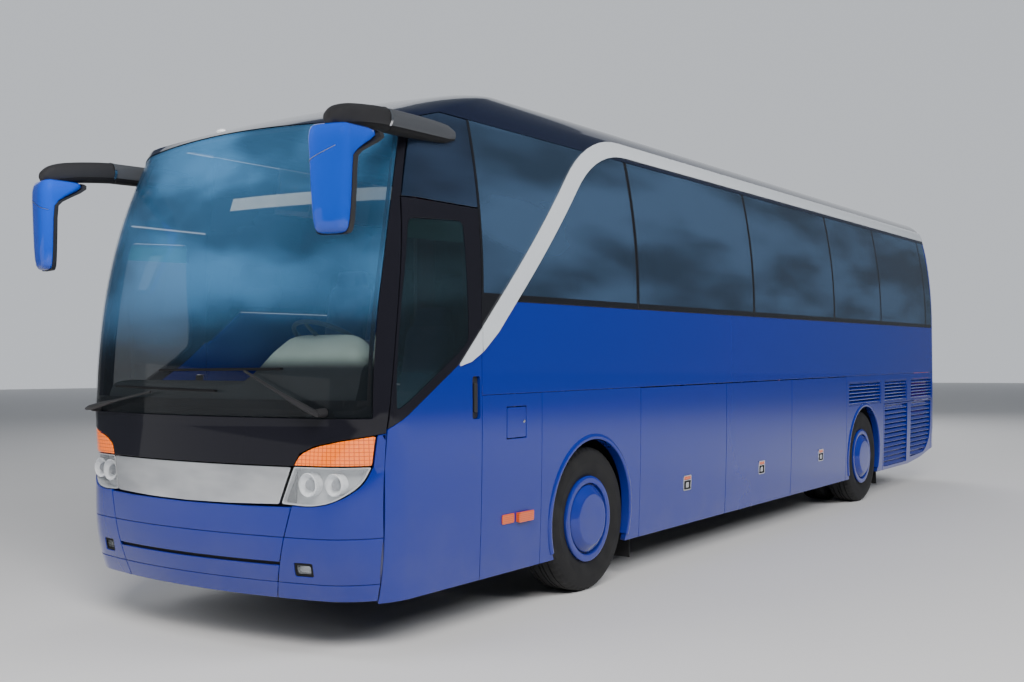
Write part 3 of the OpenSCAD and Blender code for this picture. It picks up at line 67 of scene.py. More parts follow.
# ---------------------------------------- sizes, as in the part's source
SHIFT = np.array([0.0, -3.2375, 0.0])
HALF_W = 1.275
WHEELBASE = 6.080
NOSE = -2.575
TAIL = 9.240
SIDE_END = 8.900
SKIRT_Z = 0.292
FLAP_TOP_Z = 1.431
BELT_Z = 2.020
GLASS_TOP_Z = 3.150
LEAN_Z = 2.100
LEAN_R = 5.000
EAVE_Z = 3.200
EDGE_R = 0.290
SLOPE = math.radians(12)
FRONT_R = 4.250
TAIL_R = 8.000
TAIL_CORNER_R = 0.250
SCREEN_R = 4.180
SCREEN_TOP_Z = 3.085
SCREEN_DROP = 0.090
WALL_T = 0.040
DOOR_FRONT = -2.222
DOOR_REAR = -1.345
DOOR_LOW_Z = 0.2925
DOOR_GAP = 0.0035
MID_DOOR = (4.550, 5.440)
LOW_TOP_Z = 1.429
GRILLES = ((5.514, 6.673), (6.806, 7.739), (7.893, 8.885))
GRILLE_Z = (1.100, 1.360)
ARCH_R = 0.550
ARCH_Z = 0.540
ARCH_HALF = 0.492
TYRE_R = 0.512
HALF_TRACK = 1.092
TWIN_PITCH = 0.340
FLOOR_Z = 1.300
PLATFORM_Z = 0.940
SEAM = 0.002

EAVE_X = HALF_W - LEAN_R + math.sqrt(LEAN_R ** 2 - (EAVE_Z - LEAN_Z) ** 2)
EAVE_ANGLE = math.asin((EAVE_Z - LEAN_Z) / LEAN_R)
EDGE_X = EAVE_X - EDGE_R * math.cos(EAVE_ANGLE)
EDGE_Z = EAVE_Z - EDGE_R * math.sin(EAVE_ANGLE)
CROWN_START_X = EDGE_X + EDGE_R * math.sin(SLOPE)
CROWN_START_Z = EDGE_Z + EDGE_R * math.cos(SLOPE)
CROWN_R = CROWN_START_X / math.sin(SLOPE)
CROWN_Z = CROWN_START_Z + CROWN_R * (1 - math.cos(SLOPE))
SCREEN_FOOT_Y = NOSE + 0.043


# ---------------------------------------- the body's skins
def body_x(z):
    """Half width at a height: a parabola below, straight, a leaning arc, the roof's edge, its crown."""
    z = np.asarray(z, float)
    return np.select(
        [z < FLAP_TOP_Z, z < LEAN_Z, z < EAVE_Z, z < CROWN_START_Z],
        [HALF_W - 0.030 * ((FLAP_TOP_Z - z) / (FLAP_TOP_Z - SKIRT_Z)) ** 2,
         HALF_W + 0 * z,
         HALF_W - LEAN_R + np.sqrt(np.clip(LEAN_R ** 2 - (z - LEAN_Z) ** 2, 0, None)),
         EDGE_X + np.sqrt(np.clip(EDGE_R ** 2 - (z - EDGE_Z) ** 2, 0, None))],
        np.sqrt(np.clip(CROWN_R ** 2 - (z - CROWN_Z + CROWN_R) ** 2, 0, None)))


def screen_y(z):
    """Middle line of the windscreen: an arc from its foot upwards."""
    return SCREEN_FOOT_Y + SCREEN_R - np.sqrt(SCREEN_R ** 2 - (z - 1.3) ** 2)


def nose_y(z):
    """Middle line of the front: two parabolas in the bumper, the windscreen's arc, the roof's cap."""
    z = np.asarray(z, float)
    cap = screen_y(3.09)
    return np.select(
        [z < 0.7, z < 1.3, z < 3.09],
        [NOSE + 0.065 * ((0.7 - z) / 0.39) ** 2, NOSE + 0.043 * ((z - 0.7) / 0.6) ** 2,
         screen_y(np.clip(z, 0, 4))],
        cap * np.sqrt(np.clip(1 - (z - 3.09) / (CROWN_Z - 3.09), 0, None)))


def rear_y(z):
    """Middle line of the tail: upright, then a quarter of an ellipse."""
    up = np.clip((np.asarray(z, float) - 3.0) / (CROWN_Z - 3.0), 0, 1)
    return TAIL - 0.42 * (1 - np.sqrt(1 - up ** 2))


def corner_r(z):
    """Corner radius of the front: large in the bumper, smaller from the windscreen up."""
    t = np.clip((np.asarray(z, float) - 1.06) / 0.27, 0, 1)
    return np.minimum(0.41 + (0.25 - 0.41) * t, 0.8 * body_x(z))


def arcs(w, rc, big):
    """Corner arc's middle, the angle where it starts, and the lengths of the flat and the corner arc."""
    cx = w - rc
    turn = np.arcsin(np.clip(cx / (big - rc), -1, 1))
    return cx, turn, big * turn, rc * (math.pi / 2 - turn)


def front_arc(z):
    """Half width, corner radius, corner's middle and the arcs' angle and lengths of the front at a height."""
    w, rc = body_x(z), corner_r(z)
    cx, turn, l1, l2 = arcs(w, rc, FRONT_R)
    cy = nose_y(z) + FRONT_R - np.sqrt((FRONT_R - rc) ** 2 - cx ** 2)
    return w, rc, cx, cy, turn, l1, l2


def tail_arc(z):
    """The same values for the tail."""
    w = body_x(z)
    rc = np.minimum(TAIL_CORNER_R, 0.8 * w)
    cx, turn, l1, l2 = arcs(w, rc, TAIL_R)
    cy = rear_y(z) - TAIL_R + np.sqrt((TAIL_R - rc) ** 2 - cx ** 2)
    return w, rc, cx, cy, turn, l1, l2


def around(s, w, rc, cx, turn, l1, l2, big):
    """Distance s along the skin from its middle: x, and how far the skin has fallen back from its middle."""
    a = np.abs(s)
    q = turn + np.clip((a - l1) / rc, 0, math.pi / 2 - turn)
    x = np.where(a <= l1, big * np.sin(a / big), cx + rc * np.sin(q))
    flat = big * (1 - np.cos(np.minimum(a, l1) / big))
    foot = big - np.sqrt((big - rc) ** 2 - cx ** 2)
    back = np.where(a <= l1, flat, foot - rc * np.cos(q)) + np.clip(a - l1 - l2, 0, None)
    return np.sign(s) * np.where(a > l1 + l2, w, x), back


def front_at(s, z):
    """Front skin: s is the distance from the middle along the skin, counted to the coach's left."""
    w, rc, cx, _, turn, l1, l2 = front_arc(z)
    x, back = around(s, w, rc, cx, turn, l1, l2, FRONT_R)
    return np.stack([x, nose_y(z) + back, z + 0 * s], -1)


def tail_at(s, z):
    """Tail skin: s is the distance from the middle along the skin, counted to the coach's right."""
    w, rc, cx, _, turn, l1, l2 = tail_arc(z)
    x, back = around(s, w, rc, cx, turn, l1, l2, TAIL_R)
    return np.stack([-x, rear_y(z) - back, z + 0 * s], -1)


def side_at(y, z):
    """Left side skin over place along the coach and height, corners included."""
    w, rc, cx, cy = front_arc(z)[:4]
    _, tr, tx, ty = tail_arc(z)[:4]
    x = np.where(y < cy, cx + np.sqrt(np.clip(rc ** 2 - (cy - y) ** 2, 1e-6, None)), w)
    x = np.where(y > ty, tx + np.sqrt(np.clip(tr ** 2 - (y - ty) ** 2, 1e-6, None)), x)
    return np.stack([x, y + 0 * z, z + 0 * y], -1)


def s_at(x, rc, cx, turn, l1, big):
    """Distance along a skin from its middle to x: the flat arc's length, then the corner arc's as well."""
    a = np.abs(x)
    flat = big * np.arcsin(np.clip(a / big, 0, 1))
    bent = l1 + rc * (np.arcsin(np.clip((a - cx) / rc, -1, 1)) - turn)
    return np.sign(x) * np.where(a <= big * np.sin(turn), flat, bent)


def s_from_x(x, z):
    """Distance along the front skin at x."""
    _, rc, cx, _, turn, l1, _ = front_arc(z)
    return s_at(x, rc, cx, turn, l1, FRONT_R)


def s_from_y(y, z):
    """Distance along the front skin at a place round its corner."""
    _, rc, _, cy, turn, l1, l2 = front_arc(z)
    bent = l1 + rc * (np.arccos(np.clip((cy - y) / rc, -1, 1)) - turn)
    return np.where(y < cy, bent, l1 + l2 + y - cy)


def s_from_c(c, z):
    """Distance along the front skin at column c, which counts 1 at the corner's start and 2 at its end."""
    l1, l2 = front_arc(z)[5:]
    a = np.abs(c)
    return np.sign(c) * np.where(a <= 1, a * l1, l1 + (a - 1) * l2)


def tail_s_from_x(x, z):
    """Distance along the tail skin at x."""
    _, rc, cx, _, turn, l1, _ = tail_arc(z)
    return s_at(x, rc, cx, turn, l1, TAIL_R)


def tail_s_from_y(y, z):
    """Distance along the tail skin at a place round its corner."""
    _, rc, _, cy, turn, l1, l2 = tail_arc(z)
    bent = l1 + rc * (np.arccos(np.clip((y - cy) / rc, -1, 1)) - turn)
    return np.where(y > cy, bent, l1 + l2 + cy - y)


def y_from_c(c, z):
    """Place along the coach of the front corner's column c at a height."""
    _, rc, _, cy, turn, _, _ = front_arc(z)
    q = turn + (c - 1) * (math.pi / 2 - turn)
    return cy - rc * np.cos(q)


def screen_top(c):
    """Upper edge of the windscreen over its columns: a parabola that falls to the corners."""
    return SCREEN_TOP_Z - SCREEN_DROP * (np.minimum(1.5, np.abs(c)) / 1.5) ** 2


def roof_low(c):
    """Lower edge of the roof over the windscreen and the corners."""
    a = np.abs(c)
    end = SCREEN_TOP_Z - SCREEN_DROP + SEAM
    rise = np.clip((a - 1.5) / 0.5, 0, 1)
    return np.where(a < 1.5, screen_top(c) + SEAM, end + (GLASS_TOP_Z + 0.0004 - end) * rise)


# ---------------------------------------- meshes
def placed(name, data):
    """A new object for a mesh, a lamp or a camera, in the scene."""
    made = bpy.data.objects.new(name, data)
    bpy.context.scene.collection.objects.link(made)
    return made


def unit(v):
    """Vectors of length one."""
    return v / np.maximum(np.linalg.norm(v, axis=-1, keepdims=True), 1e-12)


def corner_normals(points, faces, angle):
    """Normal of every face corner: the mean of the faces round its point that turn less than the angle."""
    n = faces.shape[1]
    p = points[faces]
    face = np.cross(p[:, n - 2] - p[:, 0], p[:, n - 1] - p[:, n - 3])
    direction = unit(face)
    owner = faces.ravel()
    order = np.argsort(owner, kind="stable")
    start = np.searchsorted(owner[order], np.arange(len(points) + 1))
    count = start[1:] - start[:-1]
    total = np.zeros((len(owner), 3))
    me = np.arange(len(owner)) // n
    for k in range(int(count.max())):
        has = k < count[owner]
        other = order[np.minimum(start[owner] + k, len(order) - 1)] // n
        near = (direction[me] * direction[other]).sum(1) > math.cos(angle)
        total += face[other] * (has & near)[:, None]
    return unit(total).reshape(len(faces), n, 3)


class Shape:
    """Parts of one piece: each has points, faces of three or four corners, corner normals and a material
    number."""

    def __init__(self):
        self.parts = []

    def add(self, points, faces, normals, slot=0):
        """One more part."""
        self.parts.append((np.asarray(points, float), np.asarray(faces, int), np.asarray(normals, float), slot))
        return self

    def solid(self, points, faces, slot=0, angle=0.6):
        """A closed part, turned outwards by its signed volume, with normals from its faces."""
        points = np.asarray(points, float)
        groups = [np.asarray(f, int) for f in (faces if isinstance(faces, list) else [faces]) if len(f)]
        split = [f if f.shape[1] == 3 else np.concatenate([f[:, [0, 1, 2]], f[:, [0, 2, 3]]]) for f in groups]
        tri = np.concatenate(split)
        a, b, c = points[tri].transpose(1, 0, 2)
        if np.einsum("ij,ij->i", a, np.cross(b, c)).sum() < 0:
            tri = tri[:, ::-1]
        return self.add(points, tri, corner_normals(points, tri, angle), slot)

    def mirrored(self):
        """The same on the coach's other side."""
        other = Shape()
        flip = np.array([-1.0, 1.0, 1.0])
        for points, faces, normals, slot in self.parts:
            other.add(points * flip, faces[:, ::-1], normals[:, ::-1] * flip, slot)
        return other

    def join(self, *others):
        """Takes in the parts of other shapes."""
        for other in others:
            self.parts.extend(other.parts)
        return self

    def moved(self, offset):
        """The same at another place."""
        other = Shape()
        for points, faces, normals, slot in self.parts:
            other.add(points + np.asarray(offset, float), faces, normals, slot)
        return other

    def make(self, name, materials, body="coach", replaces=(), slot=None):
        """The finished piece: its parts in one mesh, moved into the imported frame, on its body."""
        mesh = bpy.data.meshes.new(name)
        offset, points, corners, totals, normals, slots = 0, [], [], [], [], []
        for p, f, n, m in self.parts:
            points.append(p + SHIFT)
            corners.append((f + offset).ravel())
            totals.append(np.full(len(f), f.shape[1]))
            normals.append(n.reshape(-1, 3))
            slots.append(np.full(len(f), m))
            offset += len(p)
        points, corners, totals = np.concatenate(points), np.concatenate(corners), np.concatenate(totals)
        mesh.vertices.add(len(points))
        mesh.vertices.foreach_set("co", points.ravel())
        mesh.loops.add(len(corners))
        mesh.loops.foreach_set("vertex_index", corners)
        mesh.polygons.add(len(totals))
        mesh.polygons.foreach_set("loop_start", np.concatenate([[0], np.cumsum(totals)[:-1]]))
        mesh.polygons.foreach_set("loop_total", totals)
        mesh.polygons.foreach_set("material_index", np.concatenate(slots))
        mesh.polygons.foreach_set("use_smooth", np.ones(len(totals), bool))
        mesh.update()
        mesh.validate()
        mesh.normals_split_custom_set(unit(np.concatenate(normals)).tolist())
        for m in materials:
            mesh.materials.append(m)
        piece = placed(name, mesh)
        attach(piece, body)
        if replaces:
            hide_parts(*([replaces] if isinstance(replaces, str) else replaces))
        return piece


def dense(loop, step):
    """A closed loop with points added so that none of its edges is longer than step."""
    loop = np.asarray(loop, float)
    out = []
    for a, b in zip(loop, np.roll(loop, -1, 0)):
        n = max(1, int(math.ceil(np.linalg.norm(b - a) / step)))
        out.append(a + (b - a) * (np.arange(n) / n)[:, None])
    return np.concatenate(out)


def rounded(loop, radius, n=5):
    """A loop with its corners rounded by quadratic curves that start radius away from each corner."""
    loop = np.asarray(loop, float)
    radii = np.broadcast_to(radius, len(loop))
    out = []
    for a, b, c, r in zip(np.roll(loop, 1, 0), loop, np.roll(loop, -1, 0), radii):
        if r <= 0:
            out.append(b[None])
            continue
        p = b + (a - b) * min(0.5, r / np.linalg.norm(a - b))
        q = b + (c - b) * min(0.5, r / np.linalg.norm(c - b))
        t = np.linspace(0, 1, n)[:, None]
        out.append((1 - t) ** 2 * p + 2 * t * (1 - t) * b + t ** 2 * q)
    return np.concatenate(out)


def left_of(loop):
    """Mean of the two edge normals at every point of a closed loop, pointing to the left, mitred."""
    edge = unit(np.roll(loop, -1, 0) - loop)
    n = np.stack([-edge[:, 1], edge[:, 0]], 1)
    before = np.roll(n, 1, 0)
    return (n + before) / np.maximum(0.5, 1 + (n * before).sum(1))[:, None]


def inside(points, loops):
    """Which points lie inside an odd number of loops."""
    odd = np.zeros(len(points), bool)
    for loop in loops:
        a, b = loop, np.roll(loop, -1, 0)
        for (ax, ay), (bx, by) in zip(a, b):
            if ay != by:
                hit = (ay > points[:, 1]) != (by > points[:, 1])
                odd ^= hit & (points[:, 0] < ax + (points[:, 1] - ay) * (bx - ax) / (by - ay))
    return odd


def far_from(points, loops, distance):
    """Which points keep a distance from every edge of the loops."""
    keep = np.ones(len(points), bool)
    for loop in loops:
        for a, b in zip(loop, np.roll(loop, -1, 0)):
            d = b - a
            t = np.clip(((points - a) @ d) / max(d @ d, 1e-12), 0, 1)
            keep &= ((points - a - t[:, None] * d) ** 2).sum(1) > distance ** 2
    return keep


def fill(loops, step):
    """Points and triangles that fill the area between loops, on a grid of the given steps."""
    ring = np.concatenate(loops)
    low, high = ring.min(0), ring.max(0)
    nx, ny = [max(1, int(round((h - l) / s))) for l, h, s in zip(low, high, step)]
    gx, gy = np.meshgrid(np.linspace(low[0], high[0], nx + 1), np.linspace(low[1], high[1], ny + 1))
    grid = np.stack([gx.ravel(), gy.ravel()], 1)
    grid = grid[inside(grid, loops)]
    if len(grid):
        grid = grid[far_from(grid, loops, 0.3 * min(step))]
    points = np.concatenate([ring, grid])
    edges, start = [], 0
    for loop in loops:
        n = len(loop)
        edges += [(start + i, start + (i + 1) % n) for i in range(n)]
        start += n
    _, _, faces, origin, _, _ = delaunay_2d_cdt([Vector(p) for p in points.tolist()], edges, [], 0, 1e-7)
    index = np.array([o[0] if o else -1 for o in origin])
    tri = index[np.array([f for f in faces if len(f) == 3])]
    tri = tri[(tri >= 0).all(1)]
    centre = points[tri].mean(1)
    tri = tri[inside(centre, loops)]
    a, b, c = points[tri[:, 0]], points[tri[:, 1]], points[tri[:, 2]]
    area = (b[:, 0] - a[:, 0]) * (c[:, 1] - a[:, 1]) - (b[:, 1] - a[:, 1]) * (c[:, 0] - a[:, 0])
    tri = tri[np.abs(area) > 1e-12]
    area = area[np.abs(area) > 1e-12]
    tri[area < 0] = tri[area < 0][:, ::-1]
    return points, tri


def turned(loop, left=True):
    """The loop, run so that its inside is on the left, or on the right for a hole."""
    x, y = loop[:, 0], loop[:, 1]
    area = (x * np.roll(y, -1) - np.roll(x, -1) * y).sum()
    return loop if (area > 0) == left else loop[::-1]


def panel(at, outline, holes=(), thick=WALL_T, step=0.06, bevel=0.0025, sink=0.0, slot=0, convert=None,
          edge=None):
    """A sheet cut from a skin: at(u, v) gives its points. Its rim is rounded over bevel and its back lies
    thick behind it. Outline and holes are in u and v, or in what convert turns into u and v."""
    step = (step, step) if np.isscalar(step) else step
    edge = edge or min(step)
    loops = []
    for i, loop in enumerate([outline, *holes]):
        loop = dense(loop, edge)
        if convert:
            loop = np.stack(convert(loop[:, 0], loop[:, 1]), 1)
        keep = np.linalg.norm(loop - np.roll(loop, 1, 0), axis=1) > 1e-5
        loops.append(turned(loop[keep], i == 0))
    inner = [loop + left_of(loop) * bevel for loop in loops]
    flat, tri = fill(inner, step)

    def lift(uv, depth):
        """Points at a depth under the skin, its normals and its two slopes, by central differences."""
        e = 1e-4
        u, v = uv[:, 0], uv[:, 1]
        p = at(u, v)
        du = (at(u + e, v) - at(u - e, v)) / (2 * e)
        dv = (at(u, v + e) - at(u, v - e)) / (2 * e)
        n = unit(np.cross(du, dv))
        return p - n * (depth + sink), n, du, dv

    front, normal, _, _ = lift(flat, 0)
    back, _, _, _ = lift(flat, thick)
    rings, ring_normals = [], []
    edge_loop = np.concatenate(loops)
    edge_left = np.concatenate([left_of(loop) for loop in loops])
    outward = unit(edge_left)
    for angle in (math.radians(a) for a in (30, 60, 90)):
        uv = edge_loop + edge_left * bevel * (1 - math.sin(angle))
        p, n, du, dv = lift(uv, bevel * (1 - math.cos(angle)))
        out = -unit(outward[:, :1] * du + outward[:, 1:] * dv)
        rings.append(p)
        ring_normals.append(unit(n * math.cos(angle) + out * math.sin(angle)))
    m, n_flat = len(edge_loop), len(flat)
    succ = np.arange(m)
    first = 0
    for loop in loops:
        succ[first:first + len(loop)] = first + (np.arange(len(loop)) + 1) % len(loop)
        first += len(loop)
    ids = np.arange(m)
    points = np.concatenate([front, *rings, back])
    shade = np.concatenate([normal, *ring_normals, normal])
    rows = [ids] + [n_flat + k * m + ids for k in range(3)] + [n_flat + 3 * m + ids]
    behind = tri[:, ::-1] + n_flat + 3 * m
    faces, normals = [tri, behind], [shade[tri], -shade[behind]]
    for k in range(4):
        a, b = rows[k], rows[k + 1]
        quads = np.stack([b, b[succ], a[succ], a], 1)
        q_normals = shade[quads]
        if k == 3:
            q_normals[:, 0], q_normals[:, 1] = ring_normals[-1], ring_normals[-1][succ]
        for half in ([0, 1, 2], [0, 2, 3]):
            faces.append(quads[:, half])
            normals.append(q_normals[:, half])
    return Shape().add(points, np.concatenate(faces), np.concatenate(normals), slot)


def quads_between(a, b):
    """Quads between closed rows of point numbers a and their neighbours b."""
    return np.stack([a, np.roll(a, -1, 1), np.roll(b, -1, 1), b], -1).reshape(-1, 4)


def loft(rings, slot=0, angle=0.6, ends=None):
    """A closed body through rings of points; fans close its ends, round the given points or their middles."""
    rings = np.asarray(rings, float)
    k, m = rings.shape[:2]
    ids = np.arange(k * m).reshape(k, m)
    first, last = ends or (rings[0].mean(0), rings[-1].mean(0))
    points = np.concatenate([rings.reshape(-1, 3), [first, last]])
    fans = [np.stack([np.full(m, k * m), np.roll(ids[0], -1), ids[0]], 1),
            np.stack([np.full(m, k * m + 1), ids[-1], np.roll(ids[-1], -1)], 1)]
    return Shape().solid(points, [quads_between(ids[:-1], ids[1:]), *fans], slot, angle)


def closed_loft(rings, slot=0, angle=0.6):
    """A closed body through rings of points whose last ring joins its first."""
    k, m = rings.shape[:2]
    ids = np.arange(k * m).reshape(k, m)
    return Shape().solid(rings.reshape(-1, 3), [quads_between(ids, np.roll(ids, -1, 0))], slot, angle)


def ring_of(profile, n, centre, axis=0, angle=0.6, slot=0, wave=None):
    """A body turned round an axis through centre: profile lists place along the axis and radius; where the
    radius is 0 it closes in a point. wave(places, radii, turn) may change the radius."""
    profile = np.asarray(profile, float)
    turn = np.arange(n) * 2 * math.pi / n
    along = np.repeat(profile[:, :1], n, 1)
    radius = np.repeat(profile[:, 1:], n, 1)
    if wave:
        radius = wave(along, radius, turn[None, :])
    p = np.zeros((len(profile), n, 3))
    p[..., axis] = along
    p[..., (axis + 1) % 3] = radius * np.cos(turn)
    p[..., (axis + 2) % 3] = radius * np.sin(turn)
    p += np.asarray(centre, float)
    starts, stops = profile[0, 1] < 1e-9, profile[-1, 1] < 1e-9
    if not (starts or stops):
        return closed_loft(p, slot, angle)
    body = p[int(starts):len(p) - int(stops)]
    ends = [p[0, 0] if starts else body[0].mean(0), p[-1, 0] if stops else body[-1].mean(0)]
    return loft(body, slot, angle, ends)


def sweep(path, radius, n=12, slot=0, flat=1.0, up=(0, 0, 1)):
    """A round or oval bar along a path of points; radius may be one per point, flat squeezes it upright."""
    path = np.asarray(path, float)
    radius = np.broadcast_to(radius, len(path))
    along = unit(np.gradient(path, axis=0))
    side = unit(np.cross(along, np.broadcast_to(np.asarray(up, float), along.shape)))
    high = np.cross(side, along)
    turn = np.arange(n) * 2 * math.pi / n
    rings = (path[:, None] + side[:, None] * (radius[:, None] * np.cos(turn))[..., None]
             + high[:, None] * (radius[:, None] * flat * np.sin(turn))[..., None])
    return loft(rings, slot)


def box(x0, x1, y0, y1, z0, z1, r=0.004, slot=0):
    """A block with bevelled edges."""
    c = np.array([[x0, y0, z0], [x1, y1, z1]])
    r = min(r, 0.49 * float((c[1] - c[0]).min()))
    rings = []
    for z, d in ((z0, r), (z0 + 0.3 * r, 0.3 * r), (z0 + r, 0), (z1 - r, 0), (z1 - 0.3 * r, 0.3 * r), (z1, r)):
        a, b, e, f = x0 + d, x1 - d, y0 + d, y1 - d
        rings.append([[a + r, e, z], [b - r, e, z], [b, e + r, z], [b, f - r, z],
                      [b - r, f, z], [a + r, f, z], [a, f - r, z], [a, e + r, z]])
    return loft(rings, slot, 0.9)


def strip(at, path, profile, convert=None, slot=0, step=0.05):
    """A bar that follows a skin along a path: the profile lists how far it stands to the left and proud."""
    path = np.asarray(path, float)
    fine = [path[:1]]
    for a, b in zip(path[:-1], path[1:]):
        n = max(1, int(math.ceil(np.linalg.norm(b - a) / step)))
        fine.append(a + (b - a) * ((np.arange(n) + 1) / n)[:, None])
    uv = np.concatenate(fine)
    if convert:
        uv = np.stack(convert(uv[:, 0], uv[:, 1]), 1)
    e = 1e-4
    p = at(uv[:, 0], uv[:, 1])
    n = unit(np.cross(at(uv[:, 0] + e, uv[:, 1]) - p, at(uv[:, 0], uv[:, 1] + e) - p))
    along = unit(np.gradient(p, axis=0))
    side = np.cross(n, along)
    rings = np.stack([p + side * l + n * h for l, h in profile], 1)
    return loft(rings, slot)


# ---------------------------------------- materials
class Value:
    """A socket of a shader graph that takes part in sums and products."""

    def __init__(self, graph, socket):
        self.graph, self.socket = graph, socket

    def __add__(self, other):
        return self.graph.math("ADD", self, other)

    def __sub__(self, other):
        return self.graph.math("SUBTRACT", self, other)

    def __mul__(self, other):
        return self.graph.math("MULTIPLY", self, other)

    def __truediv__(self, other):
        return self.graph.math("DIVIDE", self, other)

    def __rsub__(self, other):
        return self.graph.math("SUBTRACT", other, self)

    __radd__ = __add__
    __rmul__ = __mul__

    def above(self, edge, width):
        """0 below edge, 1 above edge + width, smooth between."""
        return self.graph.node("ShaderNodeMapRange", {"interpolation_type": "SMOOTHSTEP"},
                               {"Value": self, "From Min": edge, "From Max": edge + width}).out("Result")

    def abs(self):
        """The value without its sign."""
        return self.graph.math("ABSOLUTE", self)

    def wave(self, period):
        """Distance to the nearest multiple of a period, as a share of half the period."""
        return self.graph.math("PINGPONG", self, period / 2) / (period / 2)


class Node:
    """A shader node, whose outputs are taken as values."""

    def __init__(self, graph, node):
        self.graph, self.node = graph, node

    def out(self, name=0):
        """One output of the node."""
        return Value(self.graph, self.node.outputs[name])


class Graph:
    def __init__(self, name):
        self.material = bpy.data.materials.new(name)
        self.material.use_nodes = True
        self.tree = self.material.node_tree
        self.shader = self.tree.nodes["Principled BSDF"]
        self._coords = None

    def node(self, kind, settings=None, values=None):
        """A node of a kind: its settings are set first, then the values or links of its sockets."""
        made = self.tree.nodes.new(kind)
        for key, value in (settings or {}).items():
            setattr(made, key, value)
        for key, value in (values or {}).items():
            self.plug(made.inputs[key], value)
        return Node(self, made)

    def plug(self, socket, value):
        """Links a value to a socket, or sets a number or colour on it."""
        if isinstance(value, Value):
            self.tree.links.new(value.socket, socket)
        elif isinstance(value, (tuple, list)) and len(value) == 3 and socket.type == "RGBA":
            socket.default_value = (*value, 1.0)
        else:
            socket.default_value = value

    def math(self, operation, *values):
        """One operation on values."""
        return self.node("ShaderNodeMath", {"operation": operation},
                         {i: v for i, v in enumerate(values)}).out()

    @property
    def coords(self):
        """Object coordinates as x, y, z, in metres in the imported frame."""
        if self._coords is None:
            place = self.node("ShaderNodeTexCoord").out("Object")
            split = self.node("ShaderNodeSeparateXYZ", values={"Vector": place})
            self._coords = [place] + [split.out(k) for k in "XYZ"]
        return self._coords

    def noise(self, scale, detail=3.0, stretch=None, rough=0.5):
        """Noise over the object's place, whose cells stretch divides along each axis."""
        place = self.coords[0]
        if stretch:
            place = self.node("ShaderNodeMapping", values={"Vector": place, "Scale": stretch}).out()
        return self.node("ShaderNodeTexNoise", values={"Vector": place, "Scale": scale, "Detail": detail,
                                                       "Roughness": rough}).out(0)

    def mix(self, a, b, share):
        """Colour a where share is 0, b where it is 1."""
        made = self.tree.nodes.new("ShaderNodeMix")
        made.data_type = "RGBA"
        self.plug(made.inputs[0], share)
        self.plug(made.inputs[6], a)
        self.plug(made.inputs[7], b)
        return Value(self, made.outputs[2])

    def bump(self, height, strength, distance):
        """Normals tilted by a height."""
        return self.node("ShaderNodeBump", values={"Height": height, "Strength": strength,
                                                   "Distance": distance}).out()

    def finish(self, **inputs):
        """Fills in the Principled shader's sockets and gives the material."""
        for key, value in inputs.items():
            self.plug(self.shader.inputs[key.replace("_", " ")], value)
        return self.material


def paint(name, colour, rough=0.22, dust=0.10, shine=1.0, metallic=0.0):
    """Clear-coated paint: a faint skin texture, and road dust that grows towards the ground."""
    g = Graph(name)
    low = 1 - g.coords[3].above(0.25, 0.75)
    cloud = g.noise(3.0, 4.0).above(0.35, 0.4)
    film = low * (0.35 + 0.65 * cloud) * dust
    base = g.mix(colour, (0.20, 0.19, 0.18), film)
    grain = g.noise(260.0, 2.0)
    return g.finish(Base_Color=base, Roughness=rough + 0.25 * film, Coat_Weight=shine - 0.6 * film,
                    Specular_IOR_Level=0.12 * shine, Coat_Roughness=0.035, Metallic=metallic,
                    Normal=g.bump(grain, 0.04, 0.0004))


def plain(name, colour, rough=0.5, metallic=0.0, scale=120.0, strength=0.15, shift=0.25, **more):
    """A plain surface whose colour and roughness vary a little with noise."""
    g = Graph(name)
    cloud = g.noise(scale / 12, 3.0)
    dark = tuple(c * (1 - shift) for c in colour)
    base = g.mix(dark, colour, cloud)
    grain = g.noise(scale, 3.0)
    return g.finish(Base_Color=base, Roughness=rough + 0.12 * (cloud - 0.5), Metallic=metallic,
                    Normal=g.bump(grain, strength, 0.001), **more)


def glass(name, colour, alpha, rough=0.01, border=None, painted_shadow_below=None):
    """Glass: thin and see-through by alpha; border(graph) gives where it is covered by black print. Its colour
    turns lighter and darker in long soft clouds, painted reflections, with its roughness varying along; below
    the given height it turns dark and less clear, a painted shadow."""
    g = Graph(name)
    painted_sheen_and_smear = g.noise(0.9, 3.0, stretch=(1.0, 0.45, 2.2))
    cover = border(g) if border else None
    # lighter and darker clouds in the glass colour: painted reflections
    base = g.mix(tuple(0.55 * c for c in colour), tuple(1.5 * c for c in colour), painted_sheen_and_smear.above(0.38, 0.24))
    see, coarse = alpha, rough + 0.015 * painted_sheen_and_smear
    if painted_shadow_below:
        # near black and less clear below the given height: painted shadow
        share = g.coords[3].above(painted_shadow_below, 0.6)
        base = g.mix((0.006, 0.010, 0.014), base, share)
        see = 0.20 + (alpha - 0.20) * share
    if cover is not None:
        base = g.mix(base, (0.006, 0.006, 0.008), cover)
        see = alpha + (1 - alpha) * cover
        coarse = coarse + 0.02 * cover
    return g.finish(Base_Color=base, Roughness=coarse, Alpha=see, Specular_IOR_Level=0.6, Coat_Weight=0.3)


def pane_border(g):
    """Black print along the lower edge and the joints of the side windows."""
    _, _, y, z = g.coords
    cover = 1 - z.above(2.063, 0.004)
    for joint in PANE_JOINTS:
        near = 1 - (y - float(joint + SHIFT[1])).abs().above(0.022, 0.004)
        cover = g.math("MAXIMUM", cover, near)
    return cover


